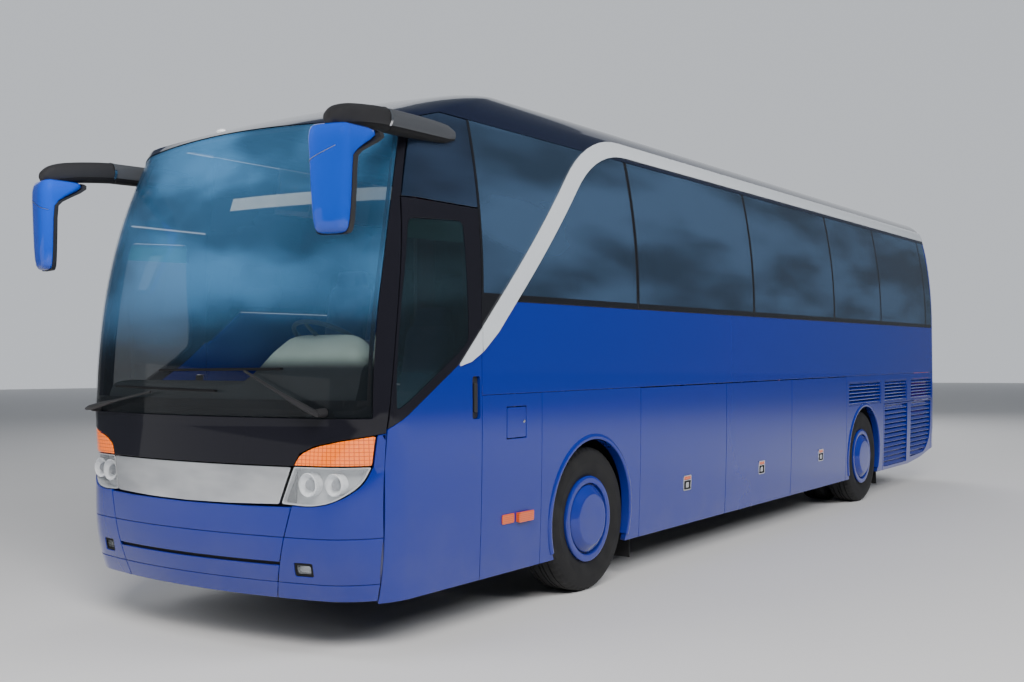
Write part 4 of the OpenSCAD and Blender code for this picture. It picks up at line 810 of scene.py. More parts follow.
def steel():
    """Brushed steel: fine horizontal lines in roughness and height, and pale clouds in its colour, which are
    painted reflections.
    """
    g = Graph("brushed steel")
    lines = g.noise(40.0, 4.0, stretch=(0.6, 0.6, 38.0))
    # near white clouds in the colour: painted reflections
    cloud = g.noise(1.6, 3.0, stretch=(1.0, 1.0, 3.0)).above(0.35, 0.35)
    base = g.mix(g.mix((0.62, 0.63, 0.66), (0.78, 0.80, 0.82), lines), (0.96, 0.97, 0.98), cloud)
    return g.finish(Base_Color=base, Metallic=1.0, Roughness=0.30 + 0.16 * lines,
                    Normal=g.bump(lines, 0.25, 0.0004))


def lens(name, colour, glow, grid):
    """Coloured lamp lens with square prisms of the size grid, counted round the coach and upwards."""
    g = Graph(name)
    _, x, y, z = g.coords
    around_it = g.math("ARCTAN2", x, -3.0 - y) * 2.4
    cell = g.math("MINIMUM", around_it.wave(grid), z.wave(grid)).above(0.0, 0.45)
    base = g.mix(tuple(0.45 * c for c in colour), colour, cell)
    return g.finish(Base_Color=base, Roughness=0.08, Coat_Weight=1.0, Coat_Roughness=0.02,
                    Emission_Color=base, Emission_Strength=glow, Normal=g.bump(cell, 0.5, 0.002))


def rubber():
    """Tyre rubber: two dark tones in soft clouds over a fine grain."""
    g = Graph("tyre rubber")
    cloud = g.noise(9.0, 4.0)
    base = g.mix((0.010, 0.010, 0.011), (0.021, 0.021, 0.021), cloud.above(0.2, 0.7))
    grain = g.noise(240.0, 2.0)
    return g.finish(Base_Color=base, Roughness=0.72 + 0.15 * cloud, Normal=g.bump(grain, 0.25, 0.001))


def cloth(name, colour, other, scale=1.0):
    """Woven cloth: two colours in soft clouds over a fine square weave."""
    g = Graph(name)
    _, x, y, z = g.coords
    weave = g.math("MINIMUM", (x + y).wave(0.006 * scale), (z + 0.5 * y).wave(0.006 * scale))
    cloud = g.noise(8.0, 2.0).above(0.45, 0.12)
    base = g.mix(colour, other, cloud)
    return g.finish(Base_Color=base, Roughness=0.9, Sheen_Weight=0.3, Normal=g.bump(weave, 0.3, 0.001))


def dash_cover():
    """Moulded dash: a pale green hood over a dark lower part."""
    g = Graph("dash cover")
    cloud = g.noise(6.0, 2.0)
    pale = g.mix((0.26, 0.35, 0.32), (0.34, 0.44, 0.41), cloud)
    base = g.mix((0.020, 0.024, 0.027), pale, g.coords[3].above(1.60, 0.10))
    grain = g.noise(220.0, 2.0)
    return g.finish(Base_Color=base, Roughness=0.62 + 0.1 * cloud, Normal=g.bump(grain, 0.1, 0.001))


# front ends of the side windows
PANE_JOINTS = [DOOR_REAR, 0.679, 2.906, 5.077, 6.705, 8.617]

BLUE = paint("blue paint", (0.003, 0.015, 0.210))
NAVY = paint("navy roof paint", (0.004, 0.007, 0.022), dust=0.0)
BLACK = paint("black paint", (0.008, 0.008, 0.012), dust=0.03, shine=0.45)
# the body's blue made brighter for the mirror shells: a painted reflection of the sky
SKY_LIT_SHELL_BLUE = paint("mirror shell blue with painted sky reflection", (0.006, 0.050, 0.400), dust=0.0)
SILVER = paint("silver paint", (0.66, 0.70, 0.75), rough=0.30, dust=0.0, metallic=0.30)
PLASTIC = plain("black plastic", (0.020, 0.020, 0.022), 0.55)
GREY_PLASTIC = plain("grey plastic", (0.050, 0.054, 0.062), 0.45)
# near black: the colour of black parts, and painted shade where it fills gaps, slots and holes
DARK = plain("dark recess", (0.006, 0.006, 0.007), 0.8)
STEEL = steel()
CHROME = plain("chrome", (0.80, 0.81, 0.83), 0.08, 1.0, strength=0.02, shift=0.05)
SATIN = plain("satin metal", (0.46, 0.47, 0.49), 0.32, 1.0, strength=0.08, shift=0.15)
FRAME_METAL = plain("painted chassis", (0.030, 0.031, 0.034), 0.55)
CAST = plain("cast metal", (0.085, 0.085, 0.09), 0.6, 0.6, strength=0.5)
# the windscreen turns dark below 1.55 m: painted shadow of the dash
SCREEN = glass("windscreen glass", (0.040, 0.130, 0.260), 0.36, painted_shadow_below=1.55)
TINTED = glass("tinted glass", (0.022, 0.044, 0.082), 0.93, border=pane_border)
DOOR_GLASS = glass("door glass", (0.007, 0.016, 0.022), 0.66)
CORNER_GLASS = glass("corner glass", (0.012, 0.022, 0.045), 0.93)
LAMP_GLASS = glass("lamp glass", (0.75, 0.80, 0.85), 0.07)
AMBER = lens("amber lens", (1.0, 0.17, 0.0), 0.5, 0.022)
# glows faintly; on the flaps' reflectors, which are no lamps, the glow is painted light
ORANGE = lens("orange marker", (0.72, 0.10, 0.004), 0.12, 0.012)
RED = lens("red lens", (0.62, 0.010, 0.010), 0.12, 0.018)
# its faint glow is painted light where it covers the tail's plate field
WHITE_LENS = lens("white lens", (0.85, 0.87, 0.90), 0.15, 0.014)
RUBBER = rubber()
SEAT_CLOTH = cloth("seat cloth", (0.030, 0.040, 0.120), (0.060, 0.065, 0.150))
CURTAIN = cloth("curtain cloth", (0.120, 0.006, 0.016), (0.150, 0.010, 0.022))
TRIM = plain("pale cabin trim", (0.30, 0.31, 0.32), 0.6)
DASH = dash_cover()
REFLECTOR = plain("lamp reflector", (0.78, 0.80, 0.83), 0.25, 0.35, strength=0.02, shift=0.08)
TRAY = plain("lamp tray", (0.55, 0.57, 0.60), 0.30, 0.3, scale=60.0, strength=0.3, shift=0.5)
LAMP_BALL = plain("lamp ball", (0.16, 0.17, 0.19), 0.06, strength=0.0, shift=0.4, Coat_Weight=1.0)
TRIM_DARK = plain("dark cabin trim", (0.035, 0.038, 0.045), 0.6)
FLOORING = plain("cabin floor covering", (0.11, 0.12, 0.14), 0.7, scale=400.0)
MIRROR = Graph("mirror glass").finish(Base_Color=(0.75, 0.78, 0.80), Metallic=1.0, Roughness=0.02)
BLIND = plain("window blind", (0.55, 0.58, 0.52), 0.8)
GREEN_BLIND = plain("green sun strip", (0.03, 0.20, 0.11), 0.4)
MUD = plain("mud flap rubber", (0.014, 0.014, 0.015), 0.8)

CAD_MATERIALS = {
    "chassis": FRAME_METAL, "cabin_floor": FLOORING, "engine": CAST, "front_axle": CAST, "rear_axle": CAST,
    "knuckle_left": CAST, "knuckle_right": CAST, "front_door_arms": SATIN, "mid_door_arms": SATIN,
    "luggage_racks": TRIM, "mud_flaps": MUD,
}
for node_name, material in CAD_MATERIALS.items():
    mesh = frame["nodes"][node_name].data
    mesh.materials.clear()
    mesh.materials.append(material)


# ---------------------------------------- outlines
def rect(u0, u1, v0, v1):
    """Corners of a rectangle."""
    return [(u0, v0), (u1, v0), (u1, v1), (u0, v1)]


def arch(y, low=SKIRT_Z):
    """The wheel arch as part of a lower outline: up from its front foot, over the top as a circle, and down to
    its rear foot."""
    start = math.asin(0.20 / ARCH_R)
    over = [(y + ARCH_R * math.cos(a), ARCH_Z + ARCH_R * math.sin(a))
            for a in np.linspace(math.pi + start, -start, 40)]
    return [(y - ARCH_HALF, low), *over, (y + ARCH_HALF, low)]


def clip(loop, limit, keep_above):
    """Part of a closed outline on one side of the line y = limit."""
    out = []
    loop = [tuple(p) for p in loop]
    side = [(p[0] - limit) * (1 if keep_above else -1) >= 0 for p in loop]
    for i, p in enumerate(loop):
        j = (i + 1) % len(loop)
        if side[i]:
            out.append(p)
        if side[i] != side[j]:
            t = (limit - p[0]) / (loop[j][0] - p[0])
            out.append((limit, p[1] + t * (loop[j][1] - p[1])))
    return np.array(out)


def band_outline():
    """The silver band: a straight rise, then two arcs that turn it along the roof's edge."""
    def arc(y, z, r, turn):
        """Points before (y, z) on a circle that lies under it."""
        return [(y - r * math.sin(a), z - r * (1 - math.cos(a))) for a in turn]

    rise = np.radians(np.arange(45, -1, -5))
    return [(-1.577, 1.612), (-1.464, 1.638), (-1.339, 1.700), (-1.176, 1.822),
            *arc(0.700, 3.180, 1.170, rise), (SIDE_END, 3.180), (SIDE_END, 3.290),
            *arc(0.650, 3.290, 1.270, rise[::-1]), (-1.577, 1.625)]


def bumper_half(z):
    """Half width of the bumper's middle part, which grows upwards along a straight seam."""
    return 0.647 + 0.142 * (z - 0.320) / 0.519


# ---------------------------------------- side walls and flaps
FUEL_OPENING = (-1.081, -0.856, 1.143, 1.350)
# section of an arch's lip: how far outside the arch's edge, and how proud
ARCH_LIP = [(0.028, 0.0005), (0.025, 0.0060), (0.016, 0.0105), (0.002, 0.0115), (-0.010, 0.0080),
            (-0.015, -0.002), (-0.015, -0.060), (0.000, -0.060)]


def side_wall(left):
    """Fixed side panels: the belt under the windows, the panels before and round the front arch, the rear panel
    with its arch and grille openings, and a rounded lip round each arch."""
    whole = dict(step=(0.20, 0.09), edge=0.08)
    front, belt_low = DOOR_REAR + SEAM, FLAP_TOP_Z + SEAM / 2
    mid_front, mid_rear = MID_DOOR
    belt_top = BELT_Z - 0.0015
    belt = [(front, belt_low), (SIDE_END, belt_low), (SIDE_END, belt_top), (-1.013, belt_top), (front, 1.7625)]
    end = [(SIDE_END, 0.416), (SIDE_END, LOW_TOP_Z)]
    if left:
        fuel, start = [rect(*FUEL_OPENING)], 5.452
        rear_foot = [(6.779, SKIRT_Z), (6.779, 1.083), (8.856, 1.083), (8.856, 0.409)]
    else:
        fuel, start = [], mid_rear + SEAM
        rear_foot = [(7.830, SKIRT_Z), (8.380, 0.335)]
        belt[1:1] = [(mid_front, belt_low), (mid_front, 1.990), (mid_rear, 1.990), (mid_rear, belt_low)]
    shape = panel(side_at, belt, **whole)
    shape.join(panel(side_at, rect(front, -0.672, SKIRT_Z, LOW_TOP_Z), fuel, **whole))
    shape.join(panel(side_at, [(-0.668, SKIRT_Z), *arch(0), (0.706, SKIRT_Z), (0.706, LOW_TOP_Z),
                               (-0.668, LOW_TOP_Z)], **whole))
    if not left:
        shape.join(panel(side_at, rect(4.489, mid_front - 0.001, SKIRT_Z, LOW_TOP_Z), **whole))
    shape.join(panel(side_at, [(start, SKIRT_Z), *arch(WHEELBASE), *rear_foot, *end, (start, LOW_TOP_Z)],
                     [rect(*ends, *GRILLE_Z) for ends in GRILLES], **whole))
    for y in (0.0, WHEELBASE):
        shape.join(strip(side_at, arch(y)[1:-1], ARCH_LIP))
    return shape


def louvres(y0, y1, z0, z1, count, deep=0.030, slot=0):
    """Sloping slats between two ends, each a thin blade that leans outwards at its foot."""
    shape = Shape()
    pitch = (z1 - z0) / count
    lean, t = pitch * 0.42, 0.0035
    for i in range(count):
        z = z0 + (i + 0.5) * pitch
        x = float(body_x(z)) - 0.006
        blade = [(x, z - lean), (x + 0.002, z - lean + t), (x - deep, z + lean + t), (x - deep - 0.002, z + lean)]
        rings = [[(p[0], y, p[1]) for p in blade] for y in (y0, y1)]
        shape.join(loft(rings, slot, 0.4))
    return shape


def side_grilles():
    """Grilles of the side's upper row: a frame with six slats in each opening."""
    shape = Shape()
    for y0, y1 in GRILLES:
        a, b, c, d = y0 + 0.0015, y1 - 0.0015, GRILLE_Z[0] + 0.0015, GRILLE_Z[1] - 0.0015
        within = rounded(rect(a + 0.018, b - 0.018, c + 0.014, d - 0.014), 0.012)
        shape.join(panel(side_at, rect(a, b, c, d), [within], thick=0.034, step=0.1, sink=0.003, edge=0.1))
        shape.join(louvres(a + 0.016, b - 0.016, c + 0.014, d - 0.014, 6))
    return shape


def latch(y, z):
    """Flap latch: a chrome frame round a dark dish with an amber reflector above it, whose faint glow is painted
    light.
    """
    shape = panel(side_at, rounded(rect(y - 0.070, y + 0.070, z - 0.062, z + 0.062), 0.012),
                  [rounded(rect(y - 0.060, y + 0.060, z - 0.052, z + 0.018), 0.008),
                   rounded(rect(y - 0.060, y + 0.060, z + 0.026, z + 0.052), 0.005)],
                  thick=0.008, step=0.03, bevel=0.0015, sink=-0.005, slot=1)
    shape.join(panel(side_at, rect(y - 0.061, y + 0.061, z - 0.053, z + 0.019), thick=0.004, step=0.05,
                     bevel=0.001, sink=-0.0012, slot=2))
    shape.join(panel(side_at, rounded(rect(y - 0.026, y + 0.026, z - 0.040, z + 0.006), 0.01), thick=0.006,
                     step=0.02, bevel=0.002, sink=-0.005, slot=1))
    # the reflector's orange marker lens glows faintly: painted light
    shape.join(panel(side_at, rect(y - 0.061, y + 0.061, z + 0.0255, z + 0.0525), thick=0.004, step=0.05,
                     bevel=0.001, sink=-0.0042, slot=3))
    return shape


# front end, width and the latch's place of each flap
LEFT_FLAPS = [(0.707, 1.574, 1.517), (2.281, 1.541, 3.075), (3.822, 1.628, 4.647)]
RIGHT_FLAPS = [(0.707, 1.890, 1.652), (2.597, 1.890, 3.542)]
LATCH_Z = 0.630


def flap(y, width, latch_y):
    """Luggage flap: one skin panel and its latch."""
    skin = panel(side_at, rounded(rect(y + DOOR_GAP, y + width - DOOR_GAP, SKIRT_Z, 1.424), 0.006, 4),
                 step=(0.2, 0.09), edge=0.08)
    return skin.join(latch(latch_y, LATCH_Z))


def radiator_door():
    """Radiator door: a panel with two openings that louvres fill, the rear ones shorter towards the foot."""
    front, rear, top = 6.787, 8.848, 1.075
    first = rounded(rect(6.815, 7.759, 0.332, 1.060), 0.012)
    second = rounded([(7.911, 0.372), (8.560, 0.395), (8.800, 0.560), (8.825, 0.760), (8.825, 1.060),
                      (7.911, 1.060)], [0.01, 0.12, 0.15, 0.1, 0.012, 0.01])
    shape = panel(side_at, [(front, SKIRT_Z), (7.830, SKIRT_Z), (8.380, 0.335), (rear, 0.409), (rear, top),
                            (front, top)], [first, second], step=(0.2, 0.09), edge=0.08)
    shape.join(louvres(6.810, 7.764, 0.332, 1.060, 13))
    low, pitch = 0.385, 0.0562
    for z in low + pitch * np.arange(12):
        end = 8.835 if z > 0.66 else 8.60 + (z - low) * 0.86
        shape.join(louvres(7.906, end, z, z + pitch, 1))
    return shape


left_wall = side_wall(True)
right_wall = side_wall(False)
left_wall.make("painted_side_left", [BLUE, PLASTIC], "coach", "side_wall_left", "painted_blue")
right_wall.mirrored().make("painted_side_right", [BLUE, PLASTIC], "coach", "side_wall_right", "painted_blue")
grilles = side_grilles()
Shape().join(grilles, grilles.mirrored()).make("upper_grilles", [BLUE], "coach", "rear_grilles", "painted_blue")
for i, row in enumerate(LEFT_FLAPS, 1):
    flap(*row).make(f"luggage_flap_left_{i}", [BLUE, CHROME, DARK, ORANGE], f"flap_left_{i}", f"flap_left_{i}",
                    "painted_blue")
for i, row in enumerate(RIGHT_FLAPS, 1):
    flap(*row).mirrored().make(f"luggage_flap_right_{i}", [BLUE, CHROME, DARK, ORANGE], f"flap_right_{i}",
                               f"flap_right_{i}", "painted_blue")
radiator_door().make("radiator_door_skin", [BLUE], "radiator_door", "radiator_door", "painted_blue")
fuel_lid = panel(side_at, rounded(rect(-1.075, -0.862, 1.149, 1.344), 0.010), thick=0.018, step=0.05)
lock = [(-0.006, 0.0), (-0.006, 0.011), (0.003, 0.011), (0.006, 0.008), (0.006, 0.0)]
fuel_lid.join(ring_of(lock, 20, (float(body_x(1.250)), -0.886, 1.250), 0, 0.5, 1)).make(
    "fuel_flap_skin", [BLUE, CHROME], "fuel_flap", "fuel_flap", "painted_blue")

# ---------------------------------------- windows, roof and silver bands
def side_panes():
    """Side windows between their joints; the first one's foot follows the belt's slope."""
    shape = Shape()
    edges = [*PANE_JOINTS, SIDE_END]
    for i, (a, b) in enumerate(zip(edges[:-1], edges[1:])):
        a, b, low, top = a + SEAM, b - SEAM, BELT_Z + 0.0006, GLASS_TOP_Z - 0.0006
        outline = rect(a, b, low, top)
        if i == 0:
            outline = [(a, 1.768), (-1.018, low), (b, low), (b, top), (a, top)]
        shape.join(panel(side_at, outline, thick=0.024, step=(0.25, 0.10), edge=0.10, sink=0.002))
    return shape


def quarter_pane():
    """Fixed dark pane over a front door, from the pillar back to the first side window."""
    zs = np.linspace(2.5915, float(roof_low(1.68)) - 0.004, 9)
    front = [(float(y_from_c(1.68, z)), z) for z in zs]
    top = [(float(y_from_c(c, roof_low(c))), float(roof_low(c)) - 0.004) for c in np.linspace(1.68, 2.0, 7)[1:]]
    outline = [*front, *top, (DOOR_REAR - SEAM, 3.1460), (DOOR_REAR - SEAM, 2.5915)]
    return panel(side_at, outline, thick=0.024, step=(0.06, 0.06), sink=0.002, slot=1)


def x_tail(x, z):
    """Turns x on the tail into distance along its skin."""
    return tail_s_from_x(x, z), z


def tail_window():
    """Dark pane of the tail, flush in its panel."""
    return panel(tail_at, rounded(rect(-1.056, 1.056, 2.084, 2.976), 0.05), thick=0.024, step=0.09, sink=0.002,
                 convert=x_tail)


def roof_shape():
    """Closed shell: every row runs round the coach, its inside follows it 45 mm in, and a strip along the
    middle closes the last rows."""
    cols = np.concatenate([np.linspace(-2, -1, 13), np.linspace(-1, 1, 25)[1:-1], np.linspace(1, 2, 13)])
    between = np.linspace(0, 1, 13)[1:-1, None]
    foot, n = roof_low(cols), len(cols)
    edge = EDGE_Z + EDGE_R * np.sin(np.linspace(EAVE_ANGLE, math.pi / 2 - SLOPE, 12))
    crown = CROWN_Z - CROWN_R + np.sqrt(CROWN_R ** 2 - (np.linspace(1, 0.03, 10)[1:] * CROWN_START_X) ** 2)
    levels = [(foot + (EAVE_Z - foot) * k, GLASS_TOP_Z + (EAVE_Z - GLASS_TOP_Z) * k)
              for k in (0, 0.25, 0.5, 0.75)]
    levels += [(np.full(n, z), z) for z in [*edge, *crown]]
    rows = []
    for ahead, behind in levels:
        behind = np.full(n, behind)
        l1, l2 = tail_arc(behind)[5:]
        reach = np.sign(cols) * np.where(np.abs(cols) <= 1, np.abs(cols) * l1, l1 + (np.abs(cols) - 1) * l2)
        front, rear = front_at(s_from_c(cols, ahead), ahead), tail_at(reach, behind)
        rows.append(np.concatenate([front, front[-1] + (rear[0] - front[-1]) * between,
                                    rear, rear[-1] + (front[0] - rear[-1]) * between]))
    outer = np.array(rows)
    along = np.roll(outer, -1, 1) - np.roll(outer, 1, 1)
    normal = unit(np.cross(along, np.gradient(outer, axis=0)))
    normal[0, :, 2] = 0
    inner = outer - 0.045 * unit(normal)
    inner[1:, :, 2] = np.maximum(inner[1:, :, 2], inner[0, :, 2] + 0.001)
    shell = np.concatenate([outer, inner[::-1]])
    k, m = shell.shape[:2]
    ids = np.arange(k * m).reshape(k, m)
    below = np.delete(np.arange(k), k // 2 - 1)
    a, b = ids[below], ids[(below + 1) % k]
    lids = []
    for row, order in ((k // 2 - 1, 1), (k // 2, -1)):
        front, left, rear, right = np.split(ids[row], [n, n + len(between), 2 * n + len(between)])
        here = np.concatenate([front[n // 2:], left, rear[:n // 2 + 1]])
        there = np.concatenate([front[n // 2::-1], right[::-1], rear[:n // 2 - 1:-1]])
        for i in range(len(here) - 1):
            lids += [f[::order] for f in ((here[i], here[i + 1], there[i + 1]), (here[i], there[i + 1], there[i]))
                     if len(set(f)) == 3]
    return Shape().solid(shell.reshape(-1, 3), [quads_between(a, b), np.array(lids)], 0, 0.7)


def hatch(y):
    """Roof hatch: a rounded lid on a low frame."""
    shape = Shape()
    for half, length, z0, z1, r in ((0.385, 0.355, CROWN_Z - 0.040, CROWN_Z + 0.008, 0.006),
                                    (0.350, 0.320, CROWN_Z - 0.030, CROWN_Z + 0.027, 0.012)):
        shape.join(box(-half, half, y - length, y + length, z0, z1, r))
    return shape


def roof_lamp(x, y, z):
    """Small clearance lamp on the front edge of the roof."""
    turn = np.linspace(0, 2 * math.pi, 20)[:-1]
    rings = [[(x + r * math.cos(a) * 1.7, y + r * math.sin(a) * 0.9, z + h) for a in turn]
             for r, h in ((0.026, -0.030), (0.026, 0.000), (0.020, 0.012), (0.009, 0.017))]
    return loft(rings, 1)


def side_bands():
    """Silver bands of both sides, raised 10 mm, from the doors' seams backwards."""
    wall = clip(band_outline(), DOOR_REAR + SEAM, True)
    band = panel(side_at, wall, thick=0.010, step=(0.15, 0.06), bevel=0.002, sink=-0.0105, edge=0.05)
    return Shape().join(band, band.mirrored())


panes = side_panes()
quarter = quarter_pane()
Shape().join(panes, panes.mirrored(), quarter, quarter.mirrored(), tail_window()).make(
    "side_windows", [TINTED, CORNER_GLASS], "coach", "tinted_glass", "tinted_glass")
roof_piece = roof_shape()
for y in (1.260, 5.960):
    roof_piece.join(hatch(y))
for x in (-0.66, 0.66):
    y = float(front_at(s_from_x(np.array(x), 3.225), np.array(3.225))[1])
    roof_piece.join(roof_lamp(x, y, 3.225))
roof_piece.make("roof_shell", [NAVY, WHITE_LENS], "coach", "roof", "painted_navy")
side_bands().make("silver_bands", [SILVER], "coach", "side_trim", "silver_trim")


# ---------------------------------------- front
def x_front(x, z):
    """Turns x on the front into distance along its skin."""
    return s_from_x(x, z), z


def s_list(points):
    """Outline points on the front skin, each given as ('x', x, z), ('y', y, z) or ('c', c, z)."""
    ways = {"x": s_from_x, "y": s_from_y, "c": s_from_c}
    return [(float(ways[k](np.array(a), np.array(z))), z) for k, a, z in points]


# lower and upper edge of each band of the bumper
BANDS = [(0.310, 0.405), (0.407, 0.503), (0.523, 0.664), (0.666, 0.836)]


def bumper():
    """Middle of the bumper: four bands over its half width, with a near black plate behind the gap between them as
    painted shade of the slot.
    """
    shape = Shape()
    for i, (z0, z1) in enumerate(BANDS):
        a, b = bumper_half(z0) - SEAM, bumper_half(z1) - SEAM
        top = [(b, z1), (0.3, z1), (0.0, z1), (-0.3, z1), (-b, z1)]
        if i == 3:
            top = [(b, z1), (0.5, z1 - 0.006), (0.0, z1 - 0.010), (-0.5, z1 - 0.006), (-b, z1)]
        shape.join(panel(front_at, [(-a, z0), (a, z0), *top], step=(0.07, 0.03), edge=0.05, bevel=0.004,
                         convert=x_front))
    # near black plate behind the gap: painted shade of the slot
    slot_half = bumper_half(0.513)
    shape.join(panel(front_at, rect(-slot_half, slot_half, 0.500, 0.526), thick=0.006, sink=0.016,
                     step=(0.08, 0.03), convert=x_front, slot=1))
    return shape


def fog_outline(g=0.0):
    """Outline of a fog lamp, drawn smaller by g."""
    return rounded(rect(0.800 + g, 0.910 - g, 0.452 + g, 0.520 - g), 0.012)


def bumper_corner():
    """One corner of the bumper, in bands that end at the door's seam."""
    shape = Shape()
    end = DOOR_FRONT - SEAM
    for i, (z0, z1) in enumerate(((0.310, 0.405), (0.407, 0.664))):
        foot = [("x", bumper_half(z0) + 0.003, z0), ("x", 0.9, z0), ("x", 1.10, z0), ("y", end, z0)]
        head = [("y", end, z1), ("x", 1.10, z1), ("x", 0.9, z1), ("x", bumper_half(z1) + 0.003, z1)]
        holes = [s_list([("x", x, z) for x, z in fog_outline(-0.004)])] if i else []
        shape.join(panel(front_at, s_list(foot + head), holes, step=(0.05, 0.04), edge=0.04, bevel=0.004))
    z0 = 0.666
    points = [("x", bumper_half(z0) + 0.003, z0), ("x", 0.9, z0), ("x", 1.10, z0), ("y", end, z0),
              ("y", end, 1.0), ("y", end, 1.2425), ("x", 1.2315, 1.2365),
              ("x", 1.2065, 1.064), ("x", 1.176, 0.964), ("x", 1.1135, 0.9035), ("x", 1.0215, 0.8550),
              ("x", 0.9000, 0.8370), ("x", 0.7945, 0.8425)]
    outline = np.array(s_list(points))
    soft = rounded(outline, [0, 0, 0, 0, 0, 0.004, 0.006, 0.01, 0.05, 0.05, 0.06, 0.06, 0.004])
    shape.join(panel(front_at, soft, step=(0.045, 0.045), edge=0.035, bevel=0.004))
    return shape


def lamp_outline(g=0.0):
    """Outline of a headlamp, drawn smaller by g."""
    loop = [(0.722 + g, 0.850 + g), (0.900, 0.840 + g), (1.020, 0.858 + g), (1.110 - g, 0.906 + g),
            (1.172 - g, 0.966 + g * 0.5), (1.200 - g, 1.060 - g), (0.794 + g, 1.060 - g)]
    return rounded(loop, [0.012, 0.05, 0.06, 0.06, 0.05, 0.008, 0.008])


def signal_outline(g=0.0):
    """Outline of the amber lamp above a headlamp, drawn smaller by g."""
    loop = [(0.796 + g, 1.066 + g), (1.202 - g, 1.066 + g), (1.2265 - g, 1.232 - g), (1.080, 1.206 - g),
            (0.920, 1.172 - g), (0.830 + g * 0.4, 1.128 - g)]
    return rounded(loop, [0.008, 0.008, 0.008, 0.05, 0.04, 0.03])


def to_front(points):
    """Points given by x and height, as distance along the front skin and height."""
    return s_list([("x", float(x), float(z)) for x, z in points])


def round_lamp(x, z, r):
    """Round lamp insert that looks forwards: a bright bowl with a ring and a clear ball."""
    y = float(front_at(s_from_x(np.array(x), z), np.array(z))[1])
    bowl = [(0.030, r * 1.06), (0.024, r * 1.10), (0.020, r * 1.02), (0.030, r * 0.98), (0.042, r * 0.86),
            (0.054, r * 0.60), (0.060, r * 0.30), (0.061, 0.0), (0.078, 0.0), (0.078, r * 1.06)]
    ball = [(0.060, 0.0), (0.058, r * 0.50), (0.046, r * 0.56), (0.034, r * 0.46), (0.026, r * 0.28),
            (0.0235, 0.0)]
    return ring_of(bowl, 48, (x, y, z), 1, 0.5, 2).join(ring_of(ball, 40, (x, y, z), 1, 0.8, 3))


def headlamp():
    """One headlamp: a silver tray, two round lamps in it, and the clear lens."""
    tray = panel(front_at, to_front(lamp_outline(0.003)), thick=0.012, step=0.05, sink=0.074, slot=1)
    wall = panel(front_at, to_front(lamp_outline(0.0015)), [to_front(lamp_outline(0.008))], thick=0.078, step=0.05,
                 sink=0.008, bevel=0.001, slot=1)
    cover = panel(front_at, to_front(lamp_outline(0.0015)), thick=0.003, step=0.035, bevel=0.001, sink=0.003)
    return Shape().join(tray, wall, round_lamp(1.028, 0.962, 0.058), round_lamp(0.872, 0.958, 0.062), cover)


def fog_lamp():
    """Fog lamp: a dark frame, a tray at its back and the lens."""
    shape = panel(front_at, to_front(fog_outline(-0.003)), [to_front(fog_outline(0.010))], thick=0.040,
                  step=0.03, bevel=0.002, sink=0.004, slot=4)
    shape.join(panel(front_at, to_front(fog_outline(0.002)), thick=0.010, step=0.04, bevel=0.001, sink=0.040,
                     slot=1))
    return shape.join(panel(front_at, to_front(fog_outline(0.008)), thick=0.004, step=0.03, bevel=0.002,
                            sink=0.010, slot=0))


def signal():
    """Amber lamp: its lens and a dark back behind it."""
    shape = panel(front_at, to_front(signal_outline(0.0015)), thick=0.010, step=0.04, bevel=0.003, sink=0.002)
    return shape.join(panel(front_at, to_front(signal_outline(0.003)), thick=0.010, step=0.06, sink=0.045,
                            slot=1))


def markers():
    """The two side markers behind a front door, each a raised block."""
    shape = Shape()
    for y, w, z0, z1, proud in ((-1.126, 0.130, 0.606, 0.668, 0.010), (-0.965, 0.172, 0.602, 0.669, 0.028)):
        shape.join(panel(side_at, rounded(rect(y, y + w, z0, z1), 0.010), thick=proud + 0.001, step=0.03,
                         bevel=0.004, sink=-proud, slot=2))
    return shape


def door_lean(z):
    """How far the front edge of a front door has moved back at a height over its kink."""
    return 0.162 * (z - 1.27) / 1.32


def front_frame():
    """Black frame: the band below the windscreen and the two pillars, as one outline."""
    zs_door = np.linspace(1.272, 2.588, 10)
    zs_screen = np.linspace(2.97, 1.34, 12)
    half = [("x", 0.791, 1.0635), ("x", 0.826, 1.1335), ("x", 0.916, 1.1775), ("x", 1.078, 1.2115),
            ("x", 1.2295, 1.2385), ("y", DOOR_FRONT - SEAM, 1.2450), ("y", DOOR_FRONT - SEAM, 1.268)]
    half += [("y", DOOR_FRONT - SEAM + door_lean(z), z) for z in zs_door]
    half += [("c", 1.667, 2.588), *[("c", c, float(roof_low(c)) - 0.004) for c in (1.667, 1.58, 1.5)]]
    half += [("c", 1.5, z) for z in zs_screen] + [("c", 1.49, 1.3285), ("x", 1.0, 1.3285), ("x", 0.5, 1.3285)]
    left = s_list(half)
    outline = left + [(-s, z) for s, z in left[::-1]]
    return panel(front_at, outline, step=(0.08, 0.05), edge=0.05, sink=0.002, bevel=0.003)


def screen_outline(inset=0.0):
    """The windscreen's outline in s and z, drawn smaller by inset."""
    cs = np.linspace(-1.488, 1.488, 41)
    top = [(float(s_from_c(c, screen_top(c))), float(screen_top(c)) - 0.002) for c in cs[::-1]]
    zs = np.linspace(1.3325, float(screen_top(1.488)) - 0.002, 16)
    right = [(float(s_from_c(1.488, z)), float(z)) for z in zs[:-1]]
    left = [(-s, z) for s, z in right[::-1]]
    low = [(float(s), 1.3325) for s in np.linspace(left[-1][0], right[0][0], 30)[1:-1]]
    loop = turned(np.array([*right, *top, *left, *low]))
    return loop + left_of(loop) * inset


def print_outline():
    """Inner edge of the black print round the windscreen: narrow at the sides, deep at the foot."""
    loop = screen_outline(0.028)
    low = loop[:, 1] < 1.40
    loop[low, 1] = 1.43
    return loop[~low | (np.abs(loop[:, 0]) < 1.28)]


